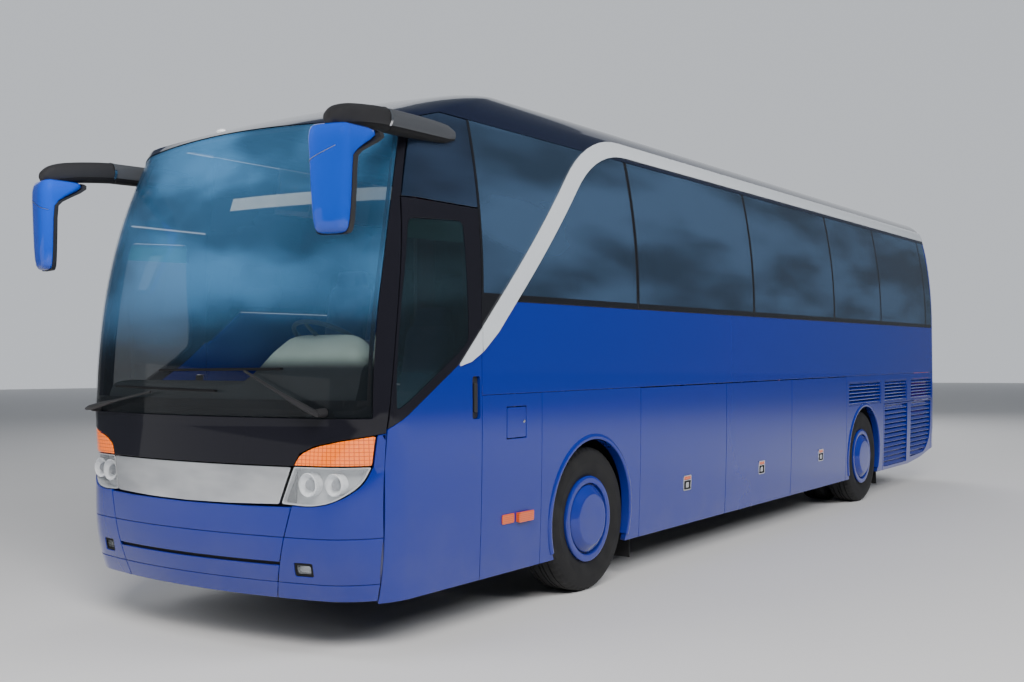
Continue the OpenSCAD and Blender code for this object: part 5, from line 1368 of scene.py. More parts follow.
def brushed_panel():
    """Brushed panel between the headlamps, with a sagging lower edge."""
    top = [(0.775, 1.0575), (-0.775, 1.0575)]
    low = [(-0.705, 0.849), (-0.35, 0.838), (0.0, 0.834), (0.35, 0.838), (0.705, 0.849)]
    outline = rounded([*low, *top], [0.01, 0, 0, 0, 0.01, 0.008, 0.008])
    return panel(front_at, outline, thick=0.018, step=(0.08, 0.05), edge=0.06, sink=0.004, bevel=0.003,
                 convert=x_front)


def panel_gap():
    """Near black back of the brushed panel, seen in the gaps round it as their painted shade."""
    return panel(front_at, rect(-0.795, 0.795, 0.800, 1.066), thick=0.010, step=0.08, sink=0.044, convert=x_front,
                 slot=1)


corner = bumper_corner()
bumper().join(corner, corner.mirrored()).make("bumper_skin", [BLUE, DARK], "coach", "front_bumper",
                                              "painted_blue")
brushed_panel().make("brushed_steel_panel", [STEEL], "coach", "front_panel", "brushed_panel")
front_frame().join(panel_gap()).make("black_front_frame", [BLACK, DARK], "coach", "front_frame", "painted_black")
lamps, fog = headlamp(), fog_lamp()
Shape().join(lamps, lamps.mirrored(), fog, fog.mirrored()).make(
    "headlamp_pair", [LAMP_GLASS, TRAY, REFLECTOR, LAMP_BALL, DARK], "coach", "headlamps", "lamp_glass")
turn_lamp, marks = signal(), markers()
Shape().join(turn_lamp, turn_lamp.mirrored(), marks, marks.mirrored()).make(
    "turn_signals", [AMBER, DARK, ORANGE], "coach", "amber_lamps", "amber_lens")
panel(front_at, screen_outline(), thick=0.012, step=(0.09, 0.08), edge=0.09, sink=0.004, bevel=0.002).make(
    "windscreen_pane", [SCREEN], "coach", "windscreen", "clear_glass")
panel(front_at, screen_outline(0.003), [print_outline()], thick=0.002, step=(0.09, 0.08), edge=0.09, sink=0.0165,
      bevel=0.0005).make("windscreen_print", [DARK], "coach")


# ---------------------------------------- front doors
# a front door: the line between blue and black, its window's outline and the radius of each corner
LINE = [(-2.2145, 1.270), (-2.159, 1.295), (-2.107, 1.315), (-2.045, 1.346), (-1.954, 1.400), (-1.862, 1.454),
        (-1.768, 1.510), (-1.671, 1.567), (-1.572, 1.626), (-1.471, 1.698), (-1.409, 1.747), (-1.352, 1.795)]
PANE = [(-2.157, 1.372), (-2.107, 1.390), (-2.045, 1.420), (-1.954, 1.473), (-1.862, 1.527), (-1.768, 1.583),
        (-1.671, 1.640), (-1.572, 1.700), (-1.484, 1.765), (-1.480, 1.900), (-1.503, 2.255), (-1.514, 2.492),
        (-2.029, 2.467), (-2.110, 1.990), (-2.138, 1.765), (-2.157, 1.541)]
PANE_R = [0.03, 0, 0, 0, 0, 0, 0, 0, 0.03, 0, 0, 0.05, 0.05, 0, 0, 0]
HANDLE_DISH = (-1.446, -1.365, 1.288, 1.549)
HANDLE = (-1.424, -1.388, 1.325, 1.510)


def shrunk(loop, distance):
    """A loop drawn smaller by a distance."""
    loop = turned(np.array(loop, float))
    return loop + left_of(loop) * distance


def front_door():
    """Door skin: blue below the rising line, black round the window above it, with its handle and the tip of
    the silver band."""
    front, rear, low, top = DOOR_FRONT + DOOR_GAP, DOOR_REAR - DOOR_GAP, DOOR_LOW_Z, 2.5835
    z = np.linspace(top, 1.272, 12)
    blue = [(rear, low), (rear, 1.7945), *[(y, v - 0.001) for y, v in LINE[-2::-1]], (front, 1.262), (front, low)]
    black = [(front, 1.269), *[(y, v + 0.001) for y, v in LINE], (rear, 1.800), (rear, top),
             *[(front + door_lean(v), v) for v in z]]
    shape = panel(side_at, blue, [rounded(rect(*HANDLE_DISH), 0.02)], step=(0.09, 0.07), edge=0.05)
    shape.join(panel(side_at, black, [rounded(PANE, PANE_R)], step=(0.07, 0.06), edge=0.05, slot=1))
    dish = rect(*np.add(HANDLE_DISH, (0.0015, -0.0015, 0.0015, -0.0015)))
    shape.join(panel(side_at, rounded(dish, 0.02), thick=0.010, step=0.04, sink=0.020, slot=3))
    shape.join(panel(side_at, rounded(rect(*HANDLE), 0.012), thick=0.014, step=0.03, bevel=0.005, sink=0.002,
                     slot=3))
    band = clip(band_outline(), DOOR_REAR - 0.006, False)
    return shape.join(panel(side_at, band, thick=0.010, step=(0.06, 0.04), bevel=0.002, sink=-0.0105, edge=0.03,
                            slot=2))


def door_pane():
    """Glass of a front door, with a green sun strip along the inside of its top."""
    loop = shrunk(rounded(PANE, PANE_R), 0.0015)
    shape = panel(side_at, loop, thick=0.006, step=0.07, edge=0.05, bevel=0.001, sink=0.003)
    sun_strip = [(-2.048, 2.350), (-1.512, 2.362), (-1.518, 2.484), (-2.026, 2.459)]
    return shape.join(panel(side_at, sun_strip, thick=0.002, step=0.07, edge=0.05, bevel=0.0005, sink=0.011,
                            slot=1))


door_skin, pane = front_door(), door_pane()
door_skin.make("driver_entrance_skin", [BLUE, BLACK, SILVER, PLASTIC], "driver_door", "driver_door",
               "painted_blue")
pane.make("driver_window_pane", [DOOR_GLASS, GREEN_BLIND], "driver_door", "driver_door_glass", "clear_glass")
door_skin.mirrored().make("front_entrance_skin", [BLUE, BLACK, SILVER, PLASTIC], "front_door", "front_door",
                          "painted_blue")
pane.mirrored().make("front_entrance_pane", [DOOR_GLASS, GREEN_BLIND], "front_door", "front_door_glass",
                     "clear_glass")

mid_pane = rounded(rect(4.645, 5.345, 1.252, 1.898), 0.07)
mid_front, mid_rear = MID_DOOR[0] + DOOR_GAP, MID_DOOR[1] - DOOR_GAP
middle = panel(side_at, rect(mid_front, mid_rear, DOOR_LOW_Z, 1.9865), [mid_pane], step=(0.10, 0.09), edge=0.08)
middle.join(panel(side_at, rounded(rect(4.610, 4.690, 0.930, 1.060), 0.015), thick=0.010, step=0.03, bevel=0.003,
                  sink=-0.008, slot=1))
middle.mirrored().make("middle_entrance_skin", [BLUE, PLASTIC], "mid_door", "mid_door", "painted_blue")
panel(side_at, shrunk(mid_pane, 0.0015), thick=0.006, step=0.08, bevel=0.001, sink=0.003).mirrored().make(
    "middle_entrance_pane", [DOOR_GLASS], "mid_door", "mid_door_glass", "clear_glass")


# ---------------------------------------- tail
def tail_edge(y, z0, z1, n=12):
    """Points of a tail outline that lie at y round the corner, from one height to another."""
    z = np.linspace(z0, z1, n)
    return [(float(tail_s_from_y(np.array(y), v)), float(v)) for v in z]


def tail_x(points):
    """Points given by x and height, as distance along the tail skin and height."""
    return [(float(tail_s_from_x(np.array(x), np.array(z))), z) for x, z in points]


def lamp_zone(z0, z1, g=0.0):
    """Outline of a tail lamp from the corner inwards, drawn smaller by g."""
    inner = tail_x([(0.962 + g, z1 - g), (0.962 + g, z0 + g)])
    return [*tail_edge(9.093 + g, z0 + g, z1 - g, 5), *inner]


def tail_panel():
    """Tail panel with its openings, the lower panel, the blank plate field and two near black discs as the painted
    shade of its screw holes.
    """
    right = tail_edge(SIDE_END + SEAM, 0.701, 3.146, 30)
    upper = [*right, *[(-s, z) for s, z in right[::-1]]]
    lamp = lamp_zone(0.860, 1.560)
    holes = [tail_x(rounded(rect(-1.060, 1.060, 2.080, 2.980), 0.05)),
             tail_x(rect(-0.900, 0.900, 0.780, 1.760)), lamp, [(-s, z) for s, z in lamp]]
    shape = panel(tail_at, upper, holes, step=(0.12, 0.09), edge=0.08)
    right = tail_edge(SIDE_END + SEAM, 0.418, 0.698, 5)
    lower = [*right, *[(-s, z) for s, z in right[::-1]]]
    shape.join(panel(tail_at, lower, step=(0.12, 0.07), edge=0.07, bevel=0.004))
    turn = np.arange(16) * math.pi / 8
    # near black discs on the panel: painted shade of the screw holes
    for x in (-0.15, 0.15):
        hole = [(x + 0.006 * math.cos(a), 0.600 + 0.006 * math.sin(a)) for a in turn]
        shape.join(panel(tail_at, hole, thick=0.004, step=0.01, bevel=0.001, sink=-0.001, slot=1))
    # the plate field takes the white lens, which glows faintly: painted light
    shape.join(panel(tail_at, rounded(rect(-0.260, 0.260, 0.540, 0.655), 0.006), thick=0.004, step=0.1,
                     bevel=0.001, sink=-0.0045, slot=2))
    return shape


def tail_lamps():
    """Tail lamps in four stacked fields a side, and the brake lamp over the window."""
    shape = Shape()
    for slot, z0, z1 in ((0, 1.3275, 1.5565), (1, 1.0975, 1.3245), (2, 0.9800, 1.0945), (1, 0.8635, 0.9770)):
        shape.join(panel(tail_at, lamp_zone(z0, z1, 0.003), thick=0.030, step=0.05, bevel=0.004, sink=0.002,
                         slot=slot))
    brake = panel(tail_at, rounded(rect(-0.220, 0.220, 3.022, 3.050), 0.01), thick=0.012, step=0.05, bevel=0.003,
                  sink=-0.010, slot=1)
    return Shape().join(shape, shape.mirrored(), brake)


def engine_lid():
    """Engine lid with eleven slots, a slat that follows the tail's curve behind each, and its grip."""
    slots = [rounded(rect(-0.600, 0.600, 1.000 + 0.052 * i, 1.026 + 0.052 * i), 0.008, 3) for i in range(11)]
    shape = panel(tail_at, rect(-0.893, 0.893, 0.787, 1.753), [tail_x(dense(h, 0.1)) for h in slots],
                  step=(0.12, 0.05), edge=0.10)
    for i in range(11):
        z = 1.013 + 0.052 * i
        y = float(rear_y(z))
        blade = [(y - 0.010, z - 0.014), (y - 0.008, z - 0.016), (y - 0.036, z + 0.012), (y - 0.038, z + 0.014)]
        rings = [[(x, p[0] - x * x / (2 * TAIL_R), p[1]) for p in blade] for x in np.linspace(-0.602, 0.602, 9)]
        shape.join(loft(rings, 0, 0.4))
    return shape.join(panel(tail_at, rounded(rect(-0.075, 0.075, 0.840, 0.880), 0.01), thick=0.008, step=0.03,
                            bevel=0.003, sink=-0.007, slot=1))


tail_panel().make("tail_panel", [BLUE, DARK, WHITE_LENS], "coach", "rear_panel", "painted_blue")
tail_lamps().make("tail_lamp_lenses", [AMBER, RED, WHITE_LENS], "coach", "tail_lamps", "red_lens")
engine_lid().make("engine_lid_skin", [BLUE, PLASTIC], "engine_lid", "engine_lid", "painted_blue")


# ---------------------------------------- mirrors and wipers
# height, half width, reach ahead and reach behind of each level of a mirror head
HEAD = [(2.898, 0.100, 0.035, 0.225), (2.886, 0.116, 0.055, 0.238), (2.862, 0.124, 0.066, 0.232),
        (2.830, 0.127, 0.072, 0.185), (2.795, 0.126, 0.073, 0.115), (2.762, 0.124, 0.073, 0.055),
        (2.735, 0.122, 0.072, 0.028), (2.660, 0.119, 0.070, 0.022), (2.560, 0.115, 0.067, 0.022),
        (2.460, 0.109, 0.063, 0.022), (2.390, 0.102, 0.058, 0.022), (2.350, 0.094, 0.050, 0.022),
        (2.330, 0.082, 0.038, 0.020), (2.322, 0.060, 0.024, 0.016), (2.319, 0.030, 0.010, 0.010)]
HEAD_X, HEAD_Y, HEAD_TURN = 1.254, -2.655, math.radians(15)


def on_head(u, v, z):
    """Points of a mirror head: u across, v behind its middle. The hump behind it points straight back."""
    turn = np.where(np.asarray(v) > 0.03, 0.0, HEAD_TURN)
    return np.stack([HEAD_X + u * math.cos(HEAD_TURN) - v * np.sin(turn),
                     HEAD_Y + u * math.sin(HEAD_TURN) + v * np.cos(turn), np.broadcast_to(z, np.shape(u))], 1)


def head_ring(z, half, ahead, behind):
    """One level of a mirror head: round towards the front and flat behind, turned towards the driver."""
    turn = np.arange(44) * math.pi / 22
    c, s = np.cos(turn), np.sin(turn)
    u = np.sign(c) * np.abs(c) ** 0.6 * half
    return on_head(u, np.where(s < 0, -np.abs(s) ** 0.9 * ahead, np.abs(s) ** 0.3 * behind), z)


def mirror_head(drop):
    """Blue shell, brighter than the body as a painted sky reflection, with a satin bar along the crease across its
    front as a painted highlight, a dark rim along its rear edge and the mirror glass behind.
    """
    def slab(first, last, wider, start, end):
        """Flat block along some levels of the head, wider by so much, between two places behind it."""
        return [on_head(np.array([-1, 1, 1, -1]) * (half + wider), behind + np.array([start, start, end, end]),
                        z - 0.006) for z, half, _, behind in HEAD[first:last]]

    shape = loft([head_ring(*row) for row in HEAD], 0, 0.9)
    shape.join(loft(slab(0, 14, 0.006, -0.018, 0.012), 1, 0.5), loft(slab(7, 12, -0.014, 0.010, 0.015), 2, 0.5))
    # satin bar along the crease: a painted highlight of the groove's edge
    u = np.linspace(-0.119, 0.060, 15)
    v = -0.0725 * np.sqrt(np.maximum(0, 1 - (np.abs(u) / 0.123) ** (1 / 0.3))) ** 0.9
    shape.join(sweep(on_head(u, v, np.linspace(2.700, 2.772, 15)), 0.0022, 6, 3))
    return shape.moved((0, 0, -drop))


def mirror_arm(z):
    """Two-piece arm of rounded section: a root on the roof pillar, a metal ring, and the part that bends down
    over the head; a darker rail runs under both. Sections are |c|^0.7 and |s|^0.7 times the height."""
    def tube(points, n, heights, slot, low=0.0, share=1.0):
        """One part of the arm; low moves its section down and share flattens it."""
        path = curve(points, n)
        along = unit(np.gradient(path, axis=0))
        side = unit(np.cross(along, np.broadcast_to([0, 0, 1.0], along.shape)))
        up = np.cross(side, along)
        high = np.interp(np.linspace(0, 1, n), np.linspace(0, 1, len(heights)), heights)[:, None]
        turn = np.arange(28) * math.pi / 14
        c, s = np.cos(turn), np.sin(turn)
        wide = np.sign(c) * np.abs(c) ** 0.7 * 0.86 * high * (1 if share == 1 else 0.93)
        tall = np.sign(s) * np.abs(s) ** 0.7 * high * share + low * high
        return loft(path[:, None] + side[:, None] * wide[..., None] + up[:, None] * tall[..., None], slot, 0.7)

    root = [(1.186, -1.520, z + 0.010), (1.194, -1.70, z + 0.008), (1.206, -1.95, z + 0.004), (1.214, -2.185, z)]
    over = [(1.214, -2.200, z), (1.224, -2.32, z - 0.010), (1.238, -2.47, z - 0.028), (1.249, -2.590, z - 0.050),
            (1.254, -2.655, z - 0.080), (1.255, -2.675, z - 0.116)]
    shape = tube(root, 26, (0.030, 0.053, 0.059, 0.062, 0.063, 0.063, 0.063), 3)
    shape.join(tube(root, 26, (0.026, 0.050, 0.057, 0.061, 0.062, 0.063, 0.063), 2, -0.78, 0.36))
    shape.join(tube(over, 36, (0.064, 0.064, 0.063, 0.062, 0.056, 0.044, 0.022), 0))
    shape.join(tube(over[:4], 26, (0.064, 0.064, 0.063, 0.056), 2, -0.78, 0.36))
    return shape.join(sweep([(1.2135, -2.184, z), (1.2145, -2.201, z)], [0.0655, 0.0655], 28, 1, 1.04))


def curve(points, n):
    """A smooth line through points, by cubic pieces of equal parameter."""
    p = np.asarray(points, float)
    p = np.concatenate([2 * p[:1] - p[1:2], p, 2 * p[-1:] - p[-2:-1]])
    t = np.linspace(0, len(points) - 1, n)
    k = np.minimum(t.astype(int), len(points) - 2)
    u = (t - k)[:, None]
    a, b, c, d = p[k], p[k + 1], p[k + 2], p[k + 3]
    return 0.5 * (2 * b + (c - a) * u + (2 * a - 5 * b + 4 * c - d) * u ** 2 + (3 * b - a - 3 * c + d) * u ** 3)


RIGHT_MIRROR_DROP = 0.075
LEFT_ARM_Z = 3.006
heads = Shape().join(mirror_head(0.0), mirror_head(RIGHT_MIRROR_DROP).mirrored())
heads.make("mirror_heads", [SKY_LIT_SHELL_BLUE, PLASTIC, MIRROR, SATIN], "coach", "mirror_shells", "painted_blue")
Shape().join(mirror_arm(LEFT_ARM_Z), mirror_arm(LEFT_ARM_Z - RIGHT_MIRROR_DROP).mirrored()).make(
    "mirror_arm_pair", [PLASTIC, CHROME, DARK, GREY_PLASTIC], "coach", "mirror_arms", "painted_black")


def on_front(x, z, proud):
    """A point that stands proud of the front skin."""
    p = front_at(s_from_x(np.array(x), np.array(z)), np.array(z))
    return p + np.array([0, -proud, 0])


def wiper(pivot, tip, blade):
    """Wiper: an arm that thickens over its root and thins to its tip, the pivot's cap, and a blade of two bars."""
    shape = Shape()
    path = [on_front(pivot[0] + (tip[0] - pivot[0]) * t, pivot[1] + (tip[1] - pivot[1]) * t, 0.070 - 0.040 * t)
            for t in np.linspace(-0.06, 1, 14)]
    arm_r = np.interp(np.linspace(0, 1, 14), [0, 0.08, 0.3, 0.5, 1], [0.014, 0.025, 0.022, 0.012, 0.009])
    shape.join(sweep(path, arm_r, 12, 0, 0.7))
    y = float(on_front(*pivot, 0)[1])
    cap = [(y - 0.060, 0.0), (y - 0.058, 0.016), (y - 0.050, 0.022), (y - 0.010, 0.026), (y + 0.010, 0.026),
           (y + 0.010, 0.0)]
    shape.join(ring_of(cap, 24, (pivot[0], 0, pivot[1]), 1))
    (x0, z0), (x1, z1) = blade
    for proud, r, flat in ((0.024, 0.008, 0.8), (0.010, 0.005, 1.6)):
        path = [on_front(x0 + (x1 - x0) * t, z0 + (z1 - z0) * t, proud) for t in np.linspace(0, 1, 28)]
        shape.join(sweep(path, r, 8, 1, flat))
    return shape


Shape().join(wiper((0.965, 1.362), (0.450, 1.595), ((-0.284, 1.599), (0.699, 1.606))),
             wiper((-1.070, 1.352), (-0.359, 1.466), ((-0.770, 1.496), (0.223, 1.478)))).make(
    "wiper_pair", [PLASTIC, DARK], "coach", "wipers", "black_plastic")

# ---------------------------------------- wheels
# place across and radius of half a tyre's section, from its bead to the middle of its tread
TYRE = [(-0.113, 0.292), (-0.121, 0.316), (-0.140, 0.360), (-0.145, 0.402), (-0.1445, 0.406), (-0.1435, 0.412),
        (-0.141, 0.450), (-0.132, 0.480), (-0.119, 0.496), (-0.112, 0.5035), (-0.106, 0.5065),
        (-0.073, 0.5105), (-0.071, 0.500), (-0.063, 0.500), (-0.061, 0.5110), (-0.022, 0.5118), (-0.020, 0.500),
        (-0.011, 0.500), (-0.009, 0.5120)]


def tread(place, radius, turn):
    """Cuts short cross grooves into the shoulder rows of the tread."""
    cut = (np.mod(turn * 56 / (2 * math.pi), 1) < 0.28) & (radius > 0.495) & (np.abs(place) > 0.085)
    return np.where(cut, radius - 0.007, radius)


def tyre(x, y):
    """Tyre: its profile, the same on both sides, turned round the hub."""
    profile = TYRE + [(-a, r) for a, r in TYRE[::-1]] + [(0.090, 0.286), (-0.090, 0.286)]
    return ring_of(profile, 224, (x, y, TYRE_R), 0, 0.5, 0, tread)


def rim_band(x, y, inner, outer):
    """Cylinder under a tyre, between two places along its axis."""
    section = [(inner, 0.268), (inner, 0.2905), (outer, 0.2905), (outer, 0.268)]
    return ring_of(section, 64, (x, y, TYRE_R), 0, 0.5, 1)


def wheel_cover(x, y):
    """Hub cover: an outer ring, a narrow slot and a raised cap with a flat middle; the rim and its disc behind."""
    face = [(0.1700, 0.0), (0.1708, 0.100), (0.1700, 0.172), (0.1680, 0.182), (0.1630, 0.192), (0.1500, 0.212),
            (0.1400, 0.226), (0.1340, 0.234), (0.1280, 0.238), (0.1120, 0.241), (0.1100, 0.2445),
            (0.1120, 0.248), (0.1300, 0.250), (0.1375, 0.254), (0.1395, 0.262), (0.1405, 0.280), (0.1400, 0.296),
            (0.1370, 0.302), (0.1310, 0.305), (0.1150, 0.303), (0.1050, 0.290), (0.1000, 0.230), (0.1000, 0.0)]
    disc = [(-0.060, 0.0), (-0.060, 0.110), (-0.015, 0.120), (0.000, 0.267), (0.012, 0.267), (0.012, 0.0)]
    return ring_of(face, 96, (x, y, TYRE_R), 0, 0.7, 0).join(
        rim_band(x, y, -0.113, 0.100), ring_of(disc, 64, (x, y, TYRE_R), 0, 0.5, 1))


for place, y, twin in (("front", 0.0, False), ("rear", WHEELBASE, True)):
    treads, covers = tyre(HALF_TRACK, y), wheel_cover(HALF_TRACK, y)
    if twin:
        inner_x = HALF_TRACK - TWIN_PITCH
        treads.join(tyre(inner_x, y))
        covers.join(rim_band(inner_x, y, -0.113, 0.113))
    for side in ("left", "right"):
        body = f"wheel_{place}_{side}"
        parts = (treads, covers) if side == "left" else (treads.mirrored(), covers.mirrored())
        parts[0].make(f"tread_{place}_{side}", [RUBBER], body, f"tyre_{place}_{side}", "tyre")
        parts[1].make(f"hub_cover_{place}_{side}", [BLUE, SATIN], body, f"rim_{place}_{side}", "painted_blue")


def wheel_liner(y, r_in):
    """Dark inner lining of a wheel arch, of radius r_in inside, where a steered wheel needs room."""
    section = ((0.600, r_in), (1.130, r_in), (1.228, 0.558), (1.229, 0.562), (1.132, r_in + 0.004),
               (0.600, r_in + 0.004))
    rings = [[(x, y + r * math.cos(a), ARCH_Z + r * math.sin(a)) for x, r in section]
             for a in np.linspace(math.radians(198), math.radians(-18), 40)]
    return loft(rings, 0, 0.5)


liners = Shape().join(wheel_liner(0.0, 0.655), wheel_liner(WHEELBASE, 0.558))
Shape().join(liners, liners.mirrored()).make("wheel_housings", [DARK], "coach")


# ---------------------------------------- inside
def cube_grid(n):
    """Points and faces of a cube from -1 to 1 with n by n faces a side."""
    t = np.tan(np.linspace(-1, 1, n + 1) * math.pi / 4.4) / math.tan(math.pi / 4.4)
    u, v = [g.ravel() for g in np.meshgrid(t, t, indexing="ij")]
    one = np.ones_like(u)
    sides = [(u, v, one), (v, u, -one), (one, u, v), (-one, v, u), (v, one, u), (u, -one, v)]
    points = np.concatenate([np.stack(s, 1) for s in sides])
    ids = np.arange((n + 1) ** 2).reshape(n + 1, n + 1)
    face = np.stack([ids[:-1, :-1], ids[1:, :-1], ids[1:, 1:], ids[:-1, 1:]], -1).reshape(-1, 4)
    faces = np.concatenate([face + k * (n + 1) ** 2 for k in range(6)])
    points, index = np.unique(np.round(points, 9), axis=0, return_inverse=True)
    return points, index.ravel()[faces]


def cushion(centre, half, tilt=0.0, crown=0.16, pull=0.05, slot=0, n=8):
    """Crowned closed pad: p on a cube is drawn in to |p|^6 = 1, its faces bulge by (1-u^2)(1-v^2) and its
    sides pull in between the corners."""
    p, faces = cube_grid(n)
    p = p / ((np.abs(p) ** 6).sum(1) ** (1 / 6))[:, None]
    x, y, z = p.T
    q = np.stack([x * (1 - pull * (1 - y ** 2)), y * (1 - pull * (1 - x ** 2)),
                  z * (0.78 + crown * 2 * (1 - x ** 2) * (1 - y ** 2))], 1) * np.asarray(half, float)
    c, s = math.cos(tilt), math.sin(tilt)
    q = np.stack([q[:, 0], q[:, 1] * c - q[:, 2] * s, q[:, 1] * s + q[:, 2] * c], 1)
    return Shape().solid(q + np.asarray(centre, float), faces, slot, 1.2)


def sewn(pad, cell=0.012, cap=0.010):
    """Simulated padding: an even remesh of the pad swells as cloth under pressure for 20 frames without
    gravity, no point moves farther than cap, and the result is subdivided once."""
    scene = bpy.context.scene

    def settled(piece):
        """Mesh of a piece after its modifiers."""
        tree = bpy.context.evaluated_depsgraph_get()
        return bpy.data.meshes.new_from_object(piece.evaluated_get(tree))

    def points_of(mesh):
        """Points of a mesh as an array."""
        co = np.empty(3 * len(mesh.vertices))
        mesh.vertices.foreach_get("co", co)
        return co.reshape(-1, 3)

    mesh = bpy.data.meshes.new("cover")
    mesh.from_pydata(pad.parts[0][0].tolist(), [], pad.parts[0][1].tolist())
    cover = placed("cover", mesh)
    even = cover.modifiers.new("even", "REMESH")
    even.mode, even.voxel_size = "VOXEL", cell
    cover.data = settled(cover)
    cover.modifiers.clear()
    start = points_of(cover.data)
    swell = cover.modifiers.new("swell", "CLOTH")
    swell.settings.use_pressure = True
    swell.settings.uniform_pressure_force = 4
    swell.settings.effector_weights.gravity = 0
    swell.point_cache.frame_start, swell.point_cache.frame_end = 1, 20
    for frame in range(1, 21):
        scene.frame_set(frame)
    step = points_of(settled(cover)) - start
    length = np.linalg.norm(step, axis=1, keepdims=True)
    step *= np.minimum(1, cap / np.maximum(length, 1e-9))
    cover.modifiers.clear()
    cover.data.vertices.foreach_set("co", (start + step).ravel())
    cover.modifiers.new("soft", "SUBSURF").levels = 1
    result = settled(cover)
    corners = np.empty(len(result.loops), int)
    result.loops.foreach_get("vertex_index", corners)
    bpy.data.objects.remove(cover)
    scene.frame_set(1)
    return Shape().solid(points_of(result), corners.reshape(-1, 4), 0, 1.2)


def pads(x, y, floor, soft=False):
    """Cushion, back and headrest of one seat place, blown up by simulation where soft is true."""
    less = 0.006 if soft else 0.0
    rows = [((x, y + 0.250, floor + 0.405), (0.215 - less, 0.240 - less, 0.088 - less), 0.06, 0.16),
            ((x, y + 0.585, floor + 0.660), (0.210 - less, 0.310 - less, 0.075 - less), math.radians(79), 0.16),
            ((x, y + 0.652, floor + 0.985), (0.150 - less, 0.085 - less, 0.062 - less), math.radians(79), 0.12)]
    shape = Shape()
    for centre, half, tilt, crown in rows:
        pad = cushion(centre, half, tilt, crown, n=20 if soft else 8)
        shape.join(sewn(pad) if soft else pad)
    return shape


def seat_frame(x0, x1, y, floor):
    """Frame of a seat: a tray on two legs and a back shell that leans 0.19 back for each metre of height."""
    shape = box(x0 + 0.02, x1 - 0.02, y + 0.03, y + 0.50, floor + 0.300, floor + 0.335, 0.01)
    for x in (x0 + 0.12, x1 - 0.12):
        shape.join(box(x - 0.02, x + 0.02, y + 0.15, y + 0.45, floor + 0.001, floor + 0.302, 0.006))
    rings = []
    for k in (0.32, 1.02):
        ahead, z = y + 0.600 + 0.19 * (k - 0.30), floor + k
        rings.append([(x0, ahead, z), (x1, ahead, z), (x1, ahead + 0.022, z), (x0, ahead + 0.022, z)])
    return shape.join(loft(rings, 0, 0.5))


SEAT_ROWS = 11
SEAT_PITCH = 0.790
DRIVER = (0.590, -1.620)
seat_pads, seat_frames = Shape(), Shape()
for i in range(SEAT_ROWS):
    y = -0.700 + SEAT_PITCH * i
    for sign in (1, -1):
        if sign < 0 and MID_DOOR[0] - 0.70 <= y <= MID_DOOR[1]:
            continue
        for x in (0.515, 0.965):
            seat_pads.join(pads(sign * x, y, FLOOR_Z))
        x0, x1 = sorted((sign * 0.290, sign * 1.190))
        seat_frames.join(seat_frame(x0, x1, y, FLOOR_Z))
seat_frames.join(seat_frame(DRIVER[0] - 0.260, DRIVER[0] + 0.260, DRIVER[1], PLATFORM_Z))
seat_pads.make("seat_pads", [SEAT_CLOTH], "coach", "seats", "seat_cloth")
driver_pads = pads(*DRIVER, PLATFORM_Z, soft=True).make("driver_seat_pads", [SEAT_CLOTH], "coach")
seat_frames.make("seat_frames", [TRIM_DARK], "coach")


def dash():
    """Dashboard: rings from right to left, its top rising to a hood before the driver."""
    rings = []
    for x in np.linspace(-1.06, 1.10, 49):
        ahead = float(on_front(x, 1.45, 0)[1]) + 0.075
        hood = 0.280 * math.exp(-((x - 0.70) / 0.42) ** 6)
        loop = [(ahead, 1.20), (ahead, 1.43), (ahead + 0.03, 1.500), (-2.250, 1.520 + 0.75 * hood),
                (-2.130, 1.530 + hood), (-2.090, 1.505 + hood), (-2.060, 1.420), (-1.980, 1.300), (-1.980, 1.20)]
        soft = rounded(loop, [0.01, 0.03, 0.05, 0.05, 0.03, 0.03, 0.05, 0.02, 0.01], 4)
        rings.append([(x, py, pz) for py, pz in soft])
    shape = loft(rings, 0, 0.8)
    return shape.join(box(-0.20, 1.10, -2.25, -2.10, PLATFORM_Z + 0.001, 1.21, 0.01, 1))


def steering_wheel():
    """Steering wheel that leans back on its column: a ring of round section, three spokes and a hub."""
    lean = math.radians(28)
    centre = np.array([0.640, -2.040, 1.780])
    side = np.array([1.0, 0, 0])
    up = np.array([0, math.sin(lean), math.cos(lean)])
    ahead = np.array([0, -math.cos(lean), math.sin(lean)])
    turn, tube = np.arange(56) * 2 * math.pi / 56, np.arange(12) * 2 * math.pi / 12
    out = side * np.cos(turn)[:, None] + ahead * np.sin(turn)[:, None]
    ring = centre + out[:, None] * (0.212 + 0.014 * np.cos(tube))[:, None] + up * (0.014 * np.sin(tube))[:, None]
    shape = closed_loft(ring, 2, 1.0)
    for a in np.radians((-150, -30, 90)):
        out = side * math.cos(a) + ahead * math.sin(a)
        spoke = [centre - up * 0.035 + out * 0.04, centre - up * 0.012 + out * 0.207]
        shape.join(sweep(spoke, [0.015, 0.010], 10, 2))
    hub = [centre - up * 0.060, centre - up * 0.050, centre - up * 0.018, centre - up * 0.010]
    shape.join(sweep(hub, [0.035, 0.062, 0.060, 0.030], 24, 2, up=(1, 0, 0)))
    return shape.join(sweep([centre - up * 0.055, centre - up * 0.40], [0.030, 0.034], 16, 2, up=(1, 0, 0)))


dash().join(steering_wheel()).make("dashboard_top", [DASH, TRIM_DARK, PLASTIC], "coach", "dashboard",
                                   "cabin_trim")

sun_strip = panel(front_at, rect(0.05, 1.26, 2.585, 2.665), thick=0.004, step=0.1, sink=0.060)
sun_strip.make("sun_blind", [BLIND], "coach")


CURTAIN_HEM_Z = 1.560
CURTAIN_DROP = 1.325
RAIL_Y = -0.780
RAIL_Z = 2.900


